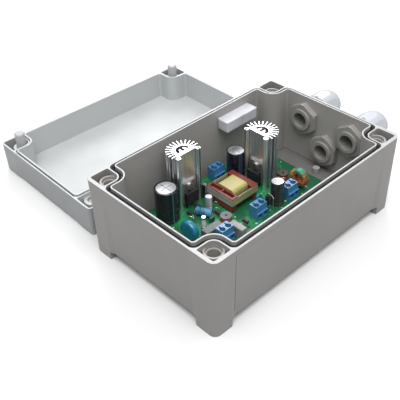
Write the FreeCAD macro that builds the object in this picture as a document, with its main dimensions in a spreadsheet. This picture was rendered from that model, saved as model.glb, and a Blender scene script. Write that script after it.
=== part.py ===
import FreeCAD, Part
import math
import os
import re
import Sketcher
from FreeCAD import Placement, Rotation, Vector

# Outdoor power supply in millimetres: an open sealed box with its lid lying upside down behind it.
# The origin is on the floor under the middle of the box, X along its length, Y to the back, Z up.

ENCLOSURE = {
    "box_length": 171,
    "box_width": 112,
    "base_height": 58,
    "corner_round": 5,
    "foot_draft": 0.5,
    "foot_height": 6,
    "foot_length": 14.5,
    "foot_width": 16,
    "floor_thickness": 2.5,
    "panel_lean": 2.1,
    "panel_blend": 4,
    "rim_band": 2,
    "outer_ridge": 1.5,
    "groove_width": 2.3,
    "inner_ridge": 1,
    "ridge_rise": 1.1,
    "groove_depth": 3,
    "corner_groove": 2.7,
    "corner_ridge": 1,
    "cavity_round": 9.5,
    "wall_blend": 1.75,
    "groove_round": 6,
    "pocket_inset": 2.6,
    "pocket_side": 13.2,
    "pocket_round": 5,
    "pocket_edge_round": 1.2,
    "pocket_depth": 10,
    "screw_inset": 10.8,
    "boss_radius": 6.2,
    "boss_drop": 3.1,
    "screw_hole": 3.9,
    "screw_mouth": 4.9,
    "screw_mouth_depth": 2,
    "fixing_hole": 2.3,
    "fixing_shelf": 10,
    "stop_radius": 2.5,
    "stop_height": 4.5,
    "stop_inset": 14,
    "stop_shift": -2,
    "gasket_width": 1.4,
    "gasket_height": 2.1,
}

LID = {
    "lid_height": 23.4,
    "lid_face": 2.5,
    "lid_corner_round": 3,
    "lid_edge_round": 1.6,
    "lid_lean": 0.9,
    "lid_land": 1,
    "tongue_width": 1.2,
    "tongue_rise": 0.8,
    "lid_gap_depth": 1.5,
    "lid_pocket_depth": 12,
    "lid_pocket_inset": 1.3,
    "lid_well": 5,
    "lid_well_depth": 17.4,
    "lid_x": 6.76,
    "lid_gap": 8.24,
    "lid_turn": -1.2,
    "lid_screw_head": 4.6,
    "lid_screw_head_height": 4,
    "lid_screw_radius": 3.75,
    "lid_screw_length": 19,
    "lid_screw_slot": 1.2,
    "lid_screw_tip": 0.8,
}

GLANDS = {
    "gland_radius": 8,
    "gland_bore": 5.5,
    "gland_flats": 21.4,
    "gland_nut_thickness": 4.7,
    "gland_nut_round": 12.2,
    "gland_nut_bevel": 0.5,
    "gland_end": 1.6,
    "gland_flange": 5.5,
    "gland_seal": 1.5,
    "gland_cap_gap": 0.6,
    "gland_cap_length": 19.5,
    "gland_cap_round": 11.2,
    "gland_cap_mouth": 7,
    "gland_cap_hex": 10.5,
    "gland_clearance": 0.15,
    "gland_insert_bore": 4,
    "gland_back_y": 18.2,
    "gland_back_drop": 15.2,
    "gland_middle_y": -2,
    "gland_middle_sag": 1.15,
    "gland_front_y": -22.5,
    "gland_front_drop": 16,
}

BOARD = {
    "board_end_gap": 25,
    "board_side_gap": 9.5,
    "board_thickness": 1.6,
    "board_round": 1,
    "board_hole_inset": 4.5,
    "board_hole": 1.7,
    "post_height": 4,
    "post_radius": 3.5,
    "post_hole": 1.5,
    "post_hole_depth": 7,
    "board_screw_head": 2.8,
    "board_screw_height": 1.8,
    "board_screw_shank": 1.4,
    "board_screw_length": 6.5,
    "board_screw_slot": 0.8,
}

HEATSINK = {
    "heatsink_height": 41.9,
    "ring_across": 8.8,
    "ring_away": 4.8,
    "ring_radius": 6.8,
    "ring_channel": 5.2,
    "ring_core": 2.9,
    "web_front": 1.3,
    "web_back": 4.3,
    "wing_thickness": 1.7,
    "fin_reach": 11.9,
    "fin_thickness": 0.75,
    "fin_tip_round": 0.3,
    "fin_first": -4,
    "fin_sweep": 193,
    "fin_count": 14,
    "middle_channel": 2.2,
    "middle_channel_front": 4,
    "edge_tube": 1.7,
    "edge_tube_bore": 0.6,
    "bead_across": 17.2,
    "bead_radius": 1.6,
    "bead_bore": 0.8,
    "bead_slot": 0.9,
    "heatsink_left_x": -30.2,
    "heatsink_left_y": 31.3,
    "heatsink_right_x": 25.2,
    "heatsink_right_y": 6.7,
    "transistor_across": 8.2,
    "transistor_width": 10,
    "transistor_lift": 3.3,
    "transistor_height": 9.2,
    "transistor_depth": 4.4,
    "tab_height": 16.2,
    "tab_thickness": 1.3,
    "tab_hole": 1.8,
    "tab_hole_drop": 3,
    "pad_thickness": 0.25,
    "pad_margin": 0.9,
    "transistor_screw": 1.25,
    "transistor_screw_depth": 3,
    "transistor_screw_head": 2.7,
    "transistor_screw_head_height": 1.6,
    "lead_width": 0.8,
    "lead_thickness": 0.5,
    "lead_pitch": 2.54,
    "case_pin_depth": 1.4,
}

# Each electrolytic capacitor has its place, radius, height and the width of the sleeve's lip on its top.
CAPACITORS = {
    "large_capacitor": {"x": -41.8, "y": 31.7, "radius": 8, "height": 25, "lip": 1.4},
    "output_capacitor": {"x": 23.2, "y": 32.2, "radius": 6.4, "height": 21.9, "lip": 0.7},
    "filter_capacitor": {"x": 19.9, "y": -9.3, "radius": 4.6, "height": 18.5, "lip": 0.5},
    "timing_capacitor": {"x": -8.9, "y": 30.3, "radius": 2, "height": 10.9, "lip": 0.5},
    "start_capacitor": {"x": -16.6, "y": 18.8, "radius": 2.5, "height": 10.9, "lip": 0.5},
    "lying_capacitor": {"x": -26, "y": 21, "radius": 2.9, "height": 11.2, "lip": 0.6},
}

CAPACITOR_FORM = {
    "sleeve_thickness": 0.3,
    "sleeve_edge": 0.25,
    "can_fit": 0.02,
    "crimp_height": 3,
    "crimp_depth": 0.45,
    "crimp_spread": 0.8,
    "lying_lift": 3.2,
    "lying_turn": 26,
    "lying_lead_reach": 1.6,
    "lying_lead_gap": 2,
    "thin_lead": 0.3,
}

TRANSFORMER = {
    "core_x": 2.65,
    "core_y": 15.6,
    "core_length": 23.7,
    "core_width": 22.8,
    "core_thickness": 5,
    "core_lift": 4.1,
    "core_side": 3.4,
    "core_back": 3.6,
    "core_centre": 6,
    "core_tape": 0.5,
    "core_tape_lift": 1.6,
    "bobbin_wall": 0.8,
    "bobbin_fit": 0.1,
    "bobbin_flange": 1.1,
    "bobbin_shelf": 2.8,
    "bobbin_brim": 0.4,
    "bobbin_pocket_depth": 2.3,
    "bobbin_pocket_margin": 0.9,
    "bobbin_rail_lift": 1,
    "bobbin_rail": 4.2,
    "winding_width": 15.6,
    "winding_height": 12.4,
    "winding_lift": 0.6,
    "winding_round": 2.5,
    "winding_gap": 0.2,
    "pin_radius": 0.4,
    "pin_pitch": 3.8,
    "pin_count": 5,
}

TERMINALS = {
    "terminal_pitch": 5.08,
    "terminal_depth": 8,
    "terminal_height": 10,
    "terminal_top": 6.4,
    "terminal_step": 5.2,
    "terminal_screw_hole": 1.95,
    "terminal_screw_back": 3.9,
    "terminal_screw": 1.75,
    "terminal_screw_length": 2.3,
    "terminal_screw_drop": 3,
    "terminal_screw_slot": 0.6,
    "terminal_entry": 3.6,
    "terminal_entry_height": 3.8,
    "terminal_entry_lift": 0.9,
    "terminal_entry_depth": 5.6,
    "terminal_clamp_wall": 0.5,
    "terminal_clamp_depth": 3,
    "terminal_clamp_fit": 0.15,
    "terminal_slot": 1.3,
    "terminal_slot_back": 1.5,
    "terminal_slot_depth": 1.5,
}

TERMINAL_PLACES = {
    "terminal_one": {"x": -30.7, "y": -14.5},
    "terminal_two": {"x": 1.6, "y": -13.5},
    "terminal_three": {"x": 32, "y": -14.5},
    "terminal_four": {"x": 12.2, "y": 36},
}

SMALL_PARTS = {
    "varistor_x": -46.8,
    "varistor_y": 5.1,
    "varistor_lift": 8.2,
    "varistor_radius": 6.9,
    "varistor_thickness": 4.6,
    "varistor_round": 1.5,
    "varistor_turn": 93,
    "varistor_lead_gap": 7.5,
    "long_film_x": -34.1,
    "long_film_y": -2.5,
    "long_film_length": 14.8,
    "long_film_width": 6,
    "long_film_height": 7.9,
    "short_film_x": -21.8,
    "short_film_y": -12.9,
    "short_film_length": 5,
    "short_film_width": 12,
    "short_film_height": 7.9,
    "film_round": 0.6,
    "fuse_x": -33,
    "fuse_y": 6.8,
    "fuse_radius": 1.8,
    "fuse_height": 9.9,
    "fuse_wall": 0.4,
    "fuse_cap": 2,
    "fuse_cap_wall": 0.25,
    "choke_radius": 3.9,
        "choke_flange": 1.2,
    "choke_waist": 1.6,
    "choke_hole": 0.8,
    "choke_winding": 3.3,
    "choke_one_x": -21.8,
    "choke_one_y": -2.4,
    "choke_one_height": 9.9,
    "choke_two_x": 40.2,
    "choke_two_y": 3.1,
    "choke_two_height": 8.2,
    "toroid_x": 44.6,
    "toroid_y": -8.2,
    "toroid_radius": 6.2,
    "toroid_hole": 3.2,
    "toroid_width": 5,
    "toroid_round": 0.6,
    "toroid_wire": 0.9,
    "toroid_bare": 70,
    "toroid_turns": 13,
    "diode_x": 12.5,
    "diode_y": -7.5,
    "diode_radius": 1.5,
    "diode_lift": 2,
    "diode_height": 7.5,
    "diode_lead_rise": 2,
    "diode_lead_x": 11.6,
    "diode_lead_y": -13.2,
    "axial_lift": 2.2,
    "axial_radius": 1.2,
    "axial_length": 4.4,
    "axial_lead": 0.35,
    "axial_reach": 1.5,
    "dot_x": 12.8,
    "dot_y": 0.6,
    "dot_radius": 2.2,
    "dot_thickness": 1.8,
    "dot_lift": 1.4,
    "resistor_x": 39.6,
    "resistor_length": 30,
    "resistor_height": 7.6,
    "resistor_depth": 9.8,
    "resistor_drop": 13,
    "resistor_round": 1,
    "resistor_glue": 0.1,
    "label_left": -68.3,
    "label_right": 0,
    "label_bottom": 11.5,
    "label_top": 54,
    "label_thickness": 0.25,
}

# Axial parts lie along Y, each at its own place.
AXIAL_PLACES = {
    "axial_one": {"x": -30.4, "y": 22.4},
    "axial_two": {"x": -21.4, "y": 24.9},
    "axial_three": {"x": -17, "y": 9.6},
    "axial_four": {"x": -10.8, "y": -9.5},
}

# Names worked out from the sizes above.
DERIVED = {
    "lid_y": "box_width + lid_gap",
    "half_length": "box_length / 2",
    "half_width": "box_width / 2",
    "cavity_inset": "outer_ridge + groove_width + inner_ridge",
    "ridge_inset": "outer_ridge + groove_width",
    "groove_square": "pocket_inset + pocket_side + corner_ridge",
    "ridge_square": "groove_square + corner_groove",
    "cavity_square": "ridge_square + inner_ridge",
    "floor_top": "foot_height + floor_thickness",
    "board_length": "box_length - 2 * board_end_gap",
    "board_width": "box_width - 2 * board_side_gap",
    "board_bottom": "floor_top + post_height",
    "board_top": "board_bottom + board_thickness",
    "post_x": "board_length / 2 - board_hole_inset",
    "post_y": "board_width / 2 - board_hole_inset",
    "groove_floor": "base_height - groove_depth",
    "tongue_inset": "outer_ridge + (groove_width - tongue_width) / 2",
    "tongue_square": "groove_square + (corner_groove - tongue_width) / 2",
    "lid_cavity_inset": "tongue_inset + tongue_width",
    "lid_cavity_square": "tongue_square + tongue_width",
    "lid_cavity_round": "cavity_round - inner_ridge - (corner_groove - tongue_width) / 2",
    "lid_boss_top": "lid_height - boss_drop",
    "lid_pocket_side": "pocket_inset + pocket_side - lid_pocket_inset",
    "wall_inside": "half_length - cavity_inset",
    "nut_face": "wall_inside - gland_nut_thickness",
    "gland_back_z": "base_height - gland_back_drop",
    "gland_middle_z": "(floor_top + gland_back_z) / 2 - gland_middle_sag",
    "gland_front_z": "base_height - gland_front_drop",
    "flange_face": "half_length + gland_seal",
    "cap_face": "flange_face + gland_flange + gland_cap_gap",
    "core_bottom": "board_top + core_lift",
    "core_top": "core_bottom + core_thickness",
    "shelf_top": "core_top + bobbin_shelf",
    "tape_bottom": "core_bottom + core_tape_lift",
    "tape_top": "shelf_top - bobbin_brim",
    "terminal_width": "2 * terminal_pitch",
    "transistor_screw_lift": "transistor_lift + tab_height - tab_hole_drop",
}


def named_places(groups):
    """Returns the values of the named groups, each called after its group and its own word."""
    return {f"{group}_{word}": number for group, words in groups.items() for word, number in words.items()}


DRIVING = {
    **ENCLOSURE,
    **LID,
    **GLANDS,
    **BOARD,
    **HEATSINK,
    **CAPACITOR_FORM,
    **named_places(CAPACITORS),
    **TRANSFORMER,
    **TERMINALS,
    **named_places(TERMINAL_PLACES),
    **SMALL_PARTS,
    **named_places(AXIAL_PLACES),
}

SHEET_WORDS = set(DRIVING) | set(DERIVED)
WORD = re.compile(r"[A-Za-z_][A-Za-z_0-9]*")
CORNERS = ((-1, -1), (1, -1), (1, 1), (-1, 1))
BEYOND = 5

document = FreeCAD.newDocument("PowerSupply")
sheet = document.addObject("Spreadsheet::Sheet", "Size")
probe = document.addObject("App::FeaturePython", "Probe")
probe.addProperty("App::PropertyFloat", "reading")
sub_parts = []


def as_cell(found):
    word = found.group()
    return "Size." + word if word in SHEET_WORDS else word


def cells(text):
    """Turns each word of a formula that is a name in the sheet into a reference to its cell."""
    return WORD.sub(as_cell, str(text))


def fill_sheet():
    """Writes the driving sizes, and below them the sizes that follow from them."""
    rows = [(name, str(number)) for name, number in DRIVING.items()]
    rows += [(name, "=" + text) for name, text in DERIVED.items()]
    for row, (name, content) in enumerate(rows, start=1):
        sheet.set(f"A{row}", name)
        sheet.set(f"B{row}", content)
        sheet.setAlias(f"B{row}", name)
    document.recompute()


def measure(text):
    """Works out a formula of the sheet as a number."""
    probe.setExpression("reading", cells(text))
    probe.recompute()
    return float(probe.reading)


def bind(item, **formulas):
    """Binds properties of an item to formulas of the sheet; a double underscore stands for a dot."""
    for name, text in formulas.items():
        item.setExpression(name.replace("__", "."), cells(text))
    return item


def place(item, x="0", y="0", z="0", turn=None):
    """Binds an item's place to formulas, after an optional fixed turn."""
    item.Placement = Placement(Vector(), turn or Rotation())
    return bind(item, Placement__Base__x=x, Placement__Base__y=y, Placement__Base__z=z)


def keep(item, label):
    """Names an item as one of the pieces of the product."""
    item.Label = label
    sub_parts.append(item)
    return item


def new_body(name):
    return document.addObject("PartDesign::Body", name)


def new_sketch(body, name, plane="XY", height="0", across="0", up="0"):
    """Adds a sketch on an origin plane of its body, shifted along the plane's normal and in the plane."""
    sketch = body.newObject("Sketcher::SketchObject", name)
    base = next(item for item in body.Origin.OriginFeatures if item.Role == plane + "_Plane")
    sketch.AttachmentSupport = (base, [""])
    sketch.MapMode = "FlatFace"
    bind(sketch, AttachmentOffset__Base__x=across, AttachmentOffset__Base__y=up,
         AttachmentOffset__Base__z=height)
    return sketch


def pin_point(sketch, geometry, end, x=None, y=None):
    """Dimensions a point of a sketch from its origin."""
    for kind, text in (("DistanceX", x), ("DistanceY", y)):
        if text is not None:
            index = sketch.addConstraint(Sketcher.Constraint(kind, -1, 1, geometry, end, measure(text)))
            sketch.setExpression(f"Constraints[{index}]", cells(text))


def circle(sketch, x, y, radius):
    """Adds a circle with its centre and radius dimensioned."""
    centre = Vector(measure(x), measure(y))
    number = sketch.addGeometry(Part.Circle(centre, Vector(0, 0, 1), measure(radius)), False)
    pin_point(sketch, number, 3, x, y)
    index = sketch.addConstraint(Sketcher.Constraint("Radius", number, measure(radius)))
    sketch.setExpression(f"Constraints[{index}]", cells(radius))


def polygon(sketch, corners):
    """Adds a closed outline of straight lines with every corner dimensioned."""
    points = [Vector(measure(x), measure(y)) for x, y in corners]
    count = len(points)
    lines = [Part.LineSegment(points[i], points[(i + 1) % count]) for i in range(count)]
    first = sketch.GeometryCount
    sketch.addGeometry(lines, False)
    for i, (x, y) in enumerate(corners):
        sketch.addConstraint(Sketcher.Constraint("Coincident", first + i, 2, first + (i + 1) % count, 1))
        pin_point(sketch, first + i, 1, x, y)


def square_outline(sketch, corners):
    """Adds a closed outline of level and upright lines; a corner's third entry is its tangent rounding."""
    points = [Vector(measure(x), measure(y)) for x, y, rounding in corners]
    radii = [measure(rounding) for x, y, rounding in corners]
    count = len(corners)
    first = sketch.GeometryCount
    for i in range(count):
        start, end = points[i], points[(i + 1) % count]
        along = (end - start).normalize()
        line = Part.LineSegment(start + along * radii[i], end - along * radii[(i + 1) % count])
        sketch.addGeometry(line, False)
        level = abs(along.y) < 0.5
        sketch.addConstraint(Sketcher.Constraint("Horizontal" if level else "Vertical", first + i))
        pin_point(sketch, first + i, 1, None if level else corners[i][0], corners[i][1] if level else None)
    for i in range(count):
        before, after = first + (i - 1) % count, first + i
        if radii[i] < 0.001:
            sketch.addConstraint(Sketcher.Constraint("Coincident", before, 2, after, 1))
            continue
        add_corner_arc(sketch, points[i - 1], points[i], points[(i + 1) % count], corners[i][2], before,
                       after)


def add_corner_arc(sketch, last, corner, following, rounding, before, after):
    """Adds the tangent arc between two lines of an outline that meet at a right angle."""
    radius = measure(rounding)
    back = (last - corner).normalize() * radius
    ahead = (following - corner).normalize() * radius
    centre = corner + back + ahead
    turns_left = back.cross(ahead).z < 0
    start, end = (corner + back, corner + ahead) if turns_left else (corner + ahead, corner + back)
    angles = [math.atan2((point - centre).y, (point - centre).x) for point in (start, end)]
    ring = Part.Circle(centre, Vector(0, 0, 1), radius)
    number = sketch.addGeometry(Part.ArcOfCircle(ring, angles[0], angles[1]), False)
    enter, leave = (1, 2) if turns_left else (2, 1)
    sketch.addConstraint(Sketcher.Constraint("Tangent", before, 2, number, enter))
    sketch.addConstraint(Sketcher.Constraint("Tangent", number, leave, after, 1))
    index = sketch.addConstraint(Sketcher.Constraint("Radius", number, radius))
    sketch.setExpression(f"Constraints[{index}]", cells(rounding))


def rectangle(sketch, left, right, bottom, top, rounding="0"):
    corners = ((left, bottom), (right, bottom), (right, top), (left, top))
    square_outline(sketch, [(x, y, rounding) for x, y in corners])


def pad(body, name, sketch, length, **options):
    """Pads a sketch by a formula of the sheet."""
    feature = body.newObject("PartDesign::Pad", name)
    feature.Profile = sketch
    bind(feature, Length=length)
    for option, setting in options.items():
        setattr(feature, option, setting)
    document.recompute()
    return feature


def pocket(body, name, sketch, length, reverse=False):
    """Cuts a sketch away and makes sure that something was cut."""
    before = body.Shape.Volume
    feature = body.newObject("PartDesign::Pocket", name)
    feature.Profile = sketch
    feature.Reversed = reverse
    bind(feature, Length=length)
    document.recompute()
    if feature.Shape.Volume > before - 0.001:
        raise ValueError(f"{name} cuts nothing")
    return feature


def revolve(body, name, sketch):
    """Turns a sketch in the XZ plane about the upright axis."""
    feature = body.newObject("PartDesign::Revolution", name)
    feature.Profile = sketch
    feature.ReferenceAxis = (sketch, ["V_Axis"])
    feature.Angle = 360
    document.recompute()
    return feature


def soften(body, name, kind, size, wanted):
    """Gives the edges of the body that pass a test a Fillet or a Chamfer."""
    tip = body.Tip
    names = [f"Edge{i}" for i, edge in enumerate(tip.Shape.Edges, start=1) if wanted(edge)]
    feature = body.newObject("PartDesign::" + kind, name)
    feature.Base = (tip, names)
    bind(feature, **{"Radius" if kind == "Fillet" else "Size": size})
    document.recompute()
    return feature


def cylinder(name, radius, length, x="0", y="0", z="0", turn=None):
    item = document.addObject("Part::Cylinder", name)
    bind(item, Radius=radius, Height=length)
    return place(item, x, y, z, turn)


def box(name, length, width, height, x="0", y="0", z="0"):
    """A box that stands on z, with its middle over x and y."""
    item = document.addObject("Part::Box", name)
    bind(item, Length=length, Width=width, Height=height)
    return place(item, f"{x} - ({length}) / 2", f"{y} - ({width}) / 2", z)


def cut(name, base, tool):
    item = document.addObject("Part::Cut", name)
    item.Base = base
    item.Tool = tool
    return item


def common(name, base, tool):
    item = document.addObject("Part::Common", name)
    item.Base = base
    item.Tool = tool
    return item


def fuse(name, pieces):
    item = document.addObject("Part::MultiFuse", name)
    item.Shapes = pieces
    return item


def group(label, pieces):
    """Keeps like pieces together as separate solids of one sub-part."""
    item = document.addObject("Part::Compound", label)
    item.Links = pieces
    return keep(item, label)


ALONG_X = Rotation(Vector(0, 1, 0), 90)
ALONG_Y = Rotation(Vector(1, 0, 0), -90)


def turned(angle, rotation):
    """A rotation that is followed by a turn about the upright axis."""
    return Rotation(Vector(0, 0, 1), angle).multiply(rotation)


def is_upright(edge):
    """True for an edge that stays over one point of the floor, give or take the draft."""
    first, last = edge.Vertexes[0].Point, edge.Vertexes[-1].Point
    return abs(first.z - last.z) > 1 and math.hypot(first.x - last.x, first.y - last.y) < 1


# Enclosure


def notched_outline(sketch, inset, square, square_round, blend):
    """An outline that runs along the walls and round the four screw pockets in S-curves."""
    side, deep = f"(half_length - ({inset}))", f"(half_width - ({inset}))"
    across, away = f"(half_length - ({square}))", f"(half_width - ({square}))"
    corners = []
    for x, y in CORNERS:
        near_side = (f"{x} * {side}", f"{y} * {away}", blend)
        middle = (f"{x} * {across}", f"{y} * {away}", square_round)
        near_end = (f"{x} * {across}", f"{y} * {deep}", blend)
        corners += [near_side, middle, near_end] if x * y > 0 else [near_end, middle, near_side]
    square_outline(sketch, corners)


def outer_block(body, height, draft, rounding):
    """The drafted block from which a moulding starts, widest at its rim."""
    rim = new_sketch(body, "rim_outline", height=height)
    rectangle(rim, "-half_length", "half_length", "-half_width", "half_width", rounding)
    block = pad(body, "block", rim, height, Reversed=True)
    bind(block, TaperAngle=f"-atan({draft} / ({height}))")
    document.recompute()


def leaning_panels(body, height, lean, draft):
    """Wall panels between the corner pillars that lean inward on the way down."""
    walls = (
        ("front", "half_length - foot_length", "half_width", -1, "XY"),
        ("back", "half_length - foot_length", "half_width", 1, "XY"),
        ("left", "half_width - foot_width", "half_length", -1, "YX"),
        ("right", "half_width - foot_width", "half_length", 1, "YX"),
    )
    for name, pillar, face, side, order in walls:
        low = panel_section(body, name + "_low", "0", pillar, f"({face}) - {draft}", face, side, lean, order)
        high = panel_section(body, name + "_high", height, pillar, face, face, side, "0", order)
        feature = body.newObject("PartDesign::SubtractiveLoft", name + "_panel")
        feature.Profile = low
        feature.Sections = [high]
        feature.Ruled = True
        document.recompute()


def panel_section(body, name, height, pillar, edge, face, side, lean, order):
    """The section of one wall panel at one height: flat in the middle and sloped up to the pillars."""
    flat = f"({pillar} - panel_blend)"
    outside = f"{side} * (({face}) + {BEYOND})"
    level = f"{side} * (({face}) - {lean})"
    brink = f"{side} * ({edge})"
    corners = [
        (f"-({pillar})", outside),
        (pillar, outside),
        (pillar, brink),
        (flat, level),
        (f"-{flat}", level),
        (f"-({pillar})", brink),
    ]
    if order == "YX":
        corners = [(y, x) for x, y in corners]
    sketch = new_sketch(body, name, height=height)
    polygon(sketch, corners)
    return sketch


def corner_pockets(body, height, depth, near, side):
    """Square pockets over the screws in the corners of the rim, rounder at the corner towards the middle."""
    sketch = new_sketch(body, "pocket_outline", height=height)
    far = f"({near} + {side})"
    for x, y in CORNERS:
        outline = []
        for across, away in CORNERS:
            inset_x = near if across == x else far
            inset_y = near if away == y else far
            rounding = "pocket_round" if inset_x == far and inset_y == far else "pocket_edge_round"
            outline.append((f"{x} * (half_length - {inset_x})", f"{y} * (half_width - {inset_y})", rounding))
        square_outline(sketch, outline)
    pocket(body, "screw_pockets", sketch, depth)


def corner_circles(body, name, radius, plane_height):
    """A sketch with one circle on each screw axis."""
    sketch = new_sketch(body, name, height=plane_height)
    for x, y in CORNERS:
        circle(sketch, f"{x} * (half_length - screw_inset)", f"{y} * (half_width - screw_inset)", radius)
    return sketch


def make_base():
    """The moulded box, with its grooved rim, screw bosses, feet, board posts and gland holes."""
    body = new_body("BaseBox")
    outer_block(body, "base_height", "foot_draft", "corner_round")
    leaning_panels(body, "base_height - rim_band", "panel_lean", "foot_draft")

    under = new_sketch(body, "between_feet")
    inner_x, inner_y = "(half_length - foot_length)", "(half_width - foot_width)"
    outer_x, outer_y = f"(half_length + {BEYOND})", f"(half_width + {BEYOND})"
    corners = []
    for x, y in CORNERS:
        at_side = (f"{x} * {outer_x}", f"{y} * {inner_y}", "0")
        middle = (f"{x} * {inner_x}", f"{y} * {inner_y}", "0")
        at_end = (f"{x} * {inner_x}", f"{y} * {outer_y}", "0")
        corners += [at_side, middle, at_end] if x * y > 0 else [at_end, middle, at_side]
    square_outline(under, corners)
    pocket(body, "raised_floor", under, "foot_height", reverse=True)

    cavity = new_sketch(body, "cavity_outline", height="base_height")
    notched_outline(cavity, "cavity_inset", "cavity_square", "cavity_round", "wall_blend")
    pocket(body, "cavity", cavity, "base_height - floor_top")

    groove = new_sketch(body, "groove_outline", height="base_height")
    notched_outline(groove, "outer_ridge", "groove_square", "groove_round", "wall_blend + groove_width")
    ridge_round = "cavity_round - inner_ridge"
    notched_outline(groove, "ridge_inset", "ridge_square", ridge_round, "wall_blend + inner_ridge")
    pocket(body, "gasket_groove", groove, "groove_depth")

    ridge = new_sketch(body, "ridge_outline", height="base_height")
    notched_outline(ridge, "ridge_inset", "ridge_square", ridge_round, "wall_blend + inner_ridge")
    notched_outline(ridge, "cavity_inset", "cavity_square", "cavity_round", "wall_blend")
    pad(body, "raised_ridge", ridge, "ridge_rise")

    corner_pockets(body, "base_height", "pocket_depth", "pocket_inset", "pocket_side")
    pad(body, "bosses", corner_circles(body, "boss_circles", "boss_radius", "base_height - boss_drop"),
        "pocket_depth - boss_drop", Reversed=True)
    holes = corner_circles(body, "screw_circles", "screw_hole", "base_height - boss_drop")
    pocket(body, "screw_holes", holes, "base_height - boss_drop - fixing_shelf")
    mouths = corner_circles(body, "mouth_circles", "screw_mouth", "base_height - boss_drop")
    pocket(body, "screw_mouths", mouths, "screw_mouth_depth")
    pocket(body, "fixing_holes", corner_circles(body, "fixing_circles", "fixing_hole", "0"),
           "fixing_shelf + 1", True)

    posts = new_sketch(body, "post_circles", height="floor_top")
    post_holes = new_sketch(body, "post_hole_circles", height="board_bottom")
    for x, y in CORNERS:
        circle(posts, f"{x} * post_x", f"{y} * post_y", "post_radius")
        circle(post_holes, f"{x} * post_x", f"{y} * post_y", "post_hole")
    pad(body, "posts", posts, "post_height")
    pocket(body, "post_holes", post_holes, "post_hole_depth - board_thickness")
    stops = new_sketch(body, "stop_circles", height="floor_top")
    for x in (-1, 1):
        circle(stops, f"{x} * (half_length - stop_inset)", "stop_shift", "stop_radius")
    pad(body, "stops", stops, "stop_height")

    openings = new_sketch(body, "gland_circles", plane="YZ", height=f"half_length + {BEYOND}")
    for y, z in gland_places():
        circle(openings, y, z, "gland_radius + gland_clearance")
    pocket(body, "gland_holes", openings, f"cavity_inset + {BEYOND} + 1")
    return keep(body, "base_box")


def make_gasket():
    """The black cord in the groove, round the box and round the four screw pockets."""
    body = new_body("RimGasket")
    sketch = new_sketch(body, "cord_outline", height="groove_floor")
    inset = "ridge_inset - (groove_width - gasket_width) / 2"
    square = "ridge_square - (corner_groove - gasket_width) / 2"
    inner_shift = "inner_ridge + (corner_groove - gasket_width) / 2"
    inner_round = f"cavity_round - {inner_shift}"
    notched_outline(sketch, inset, square, inner_round, "wall_blend + inner_ridge")
    notched_outline(sketch, f"{inset} - gasket_width", f"{square} - gasket_width",
                    f"{inner_round} - gasket_width",
                    "wall_blend + inner_ridge + gasket_width")
    pad(body, "cord", sketch, "gasket_height")
    return keep(body, "rim_gasket")


def make_lid():
    """The moulded lid, made as it lies: its outer face down and its rim tongue up."""
    body = new_body("Lid")
    outer_block(body, "lid_height", "foot_draft", "lid_corner_round")
    leaning_panels(body, "lid_height", "lid_lean", "foot_draft")
    soften(body, "face_edge", "Fillet", "lid_edge_round", lambda edge: edge.BoundBox.ZMax < 0.001)

    cavity = new_sketch(body, "cavity_outline", height="lid_height")
    notched_outline(cavity, "lid_cavity_inset", "lid_cavity_square", "lid_cavity_round", "wall_blend")
    pocket(body, "cavity", cavity, "lid_height - lid_face")

    gap = new_sketch(body, "gap_outline", height="lid_height")
    tongue_round = "lid_cavity_round - tongue_width"
    tongue_blend = "wall_blend + tongue_width"
    land_step = "(tongue_inset - lid_land)"
    notched_outline(gap, "lid_land", f"tongue_square - {land_step}", f"{tongue_round} - {land_step}",
                    f"{tongue_blend} + {land_step}")
    notched_outline(gap, "tongue_inset", "tongue_square", tongue_round, tongue_blend)
    pocket(body, "rim_gap", gap, "lid_gap_depth")

    tongue = new_sketch(body, "tongue_outline", height="lid_height")
    notched_outline(tongue, "tongue_inset", "tongue_square", tongue_round, tongue_blend)
    notched_outline(tongue, "lid_cavity_inset", "lid_cavity_square", "lid_cavity_round", "wall_blend")
    pad(body, "tongue", tongue, "tongue_rise")

    corner_pockets(body, "lid_height", "lid_pocket_depth", "lid_pocket_inset", "lid_pocket_side")
    pad(body, "bosses", corner_circles(body, "boss_circles", "boss_radius", "lid_boss_top"),
        "lid_pocket_depth - boss_drop", Reversed=True)
    pocket(body, "screw_holes", corner_circles(body, "screw_circles", "screw_hole", "lid_boss_top"),
           "lid_boss_top")
    pocket(body, "screw_wells", corner_circles(body, "well_circles", "lid_well", "0"), "lid_well_depth", True)
    body.Placement = Placement(Vector(), Rotation(Vector(0, 0, 1), measure("lid_turn")))
    bind(body, Placement__Base__x="lid_x", Placement__Base__y="lid_y")
    return keep(body, "lid")


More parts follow.
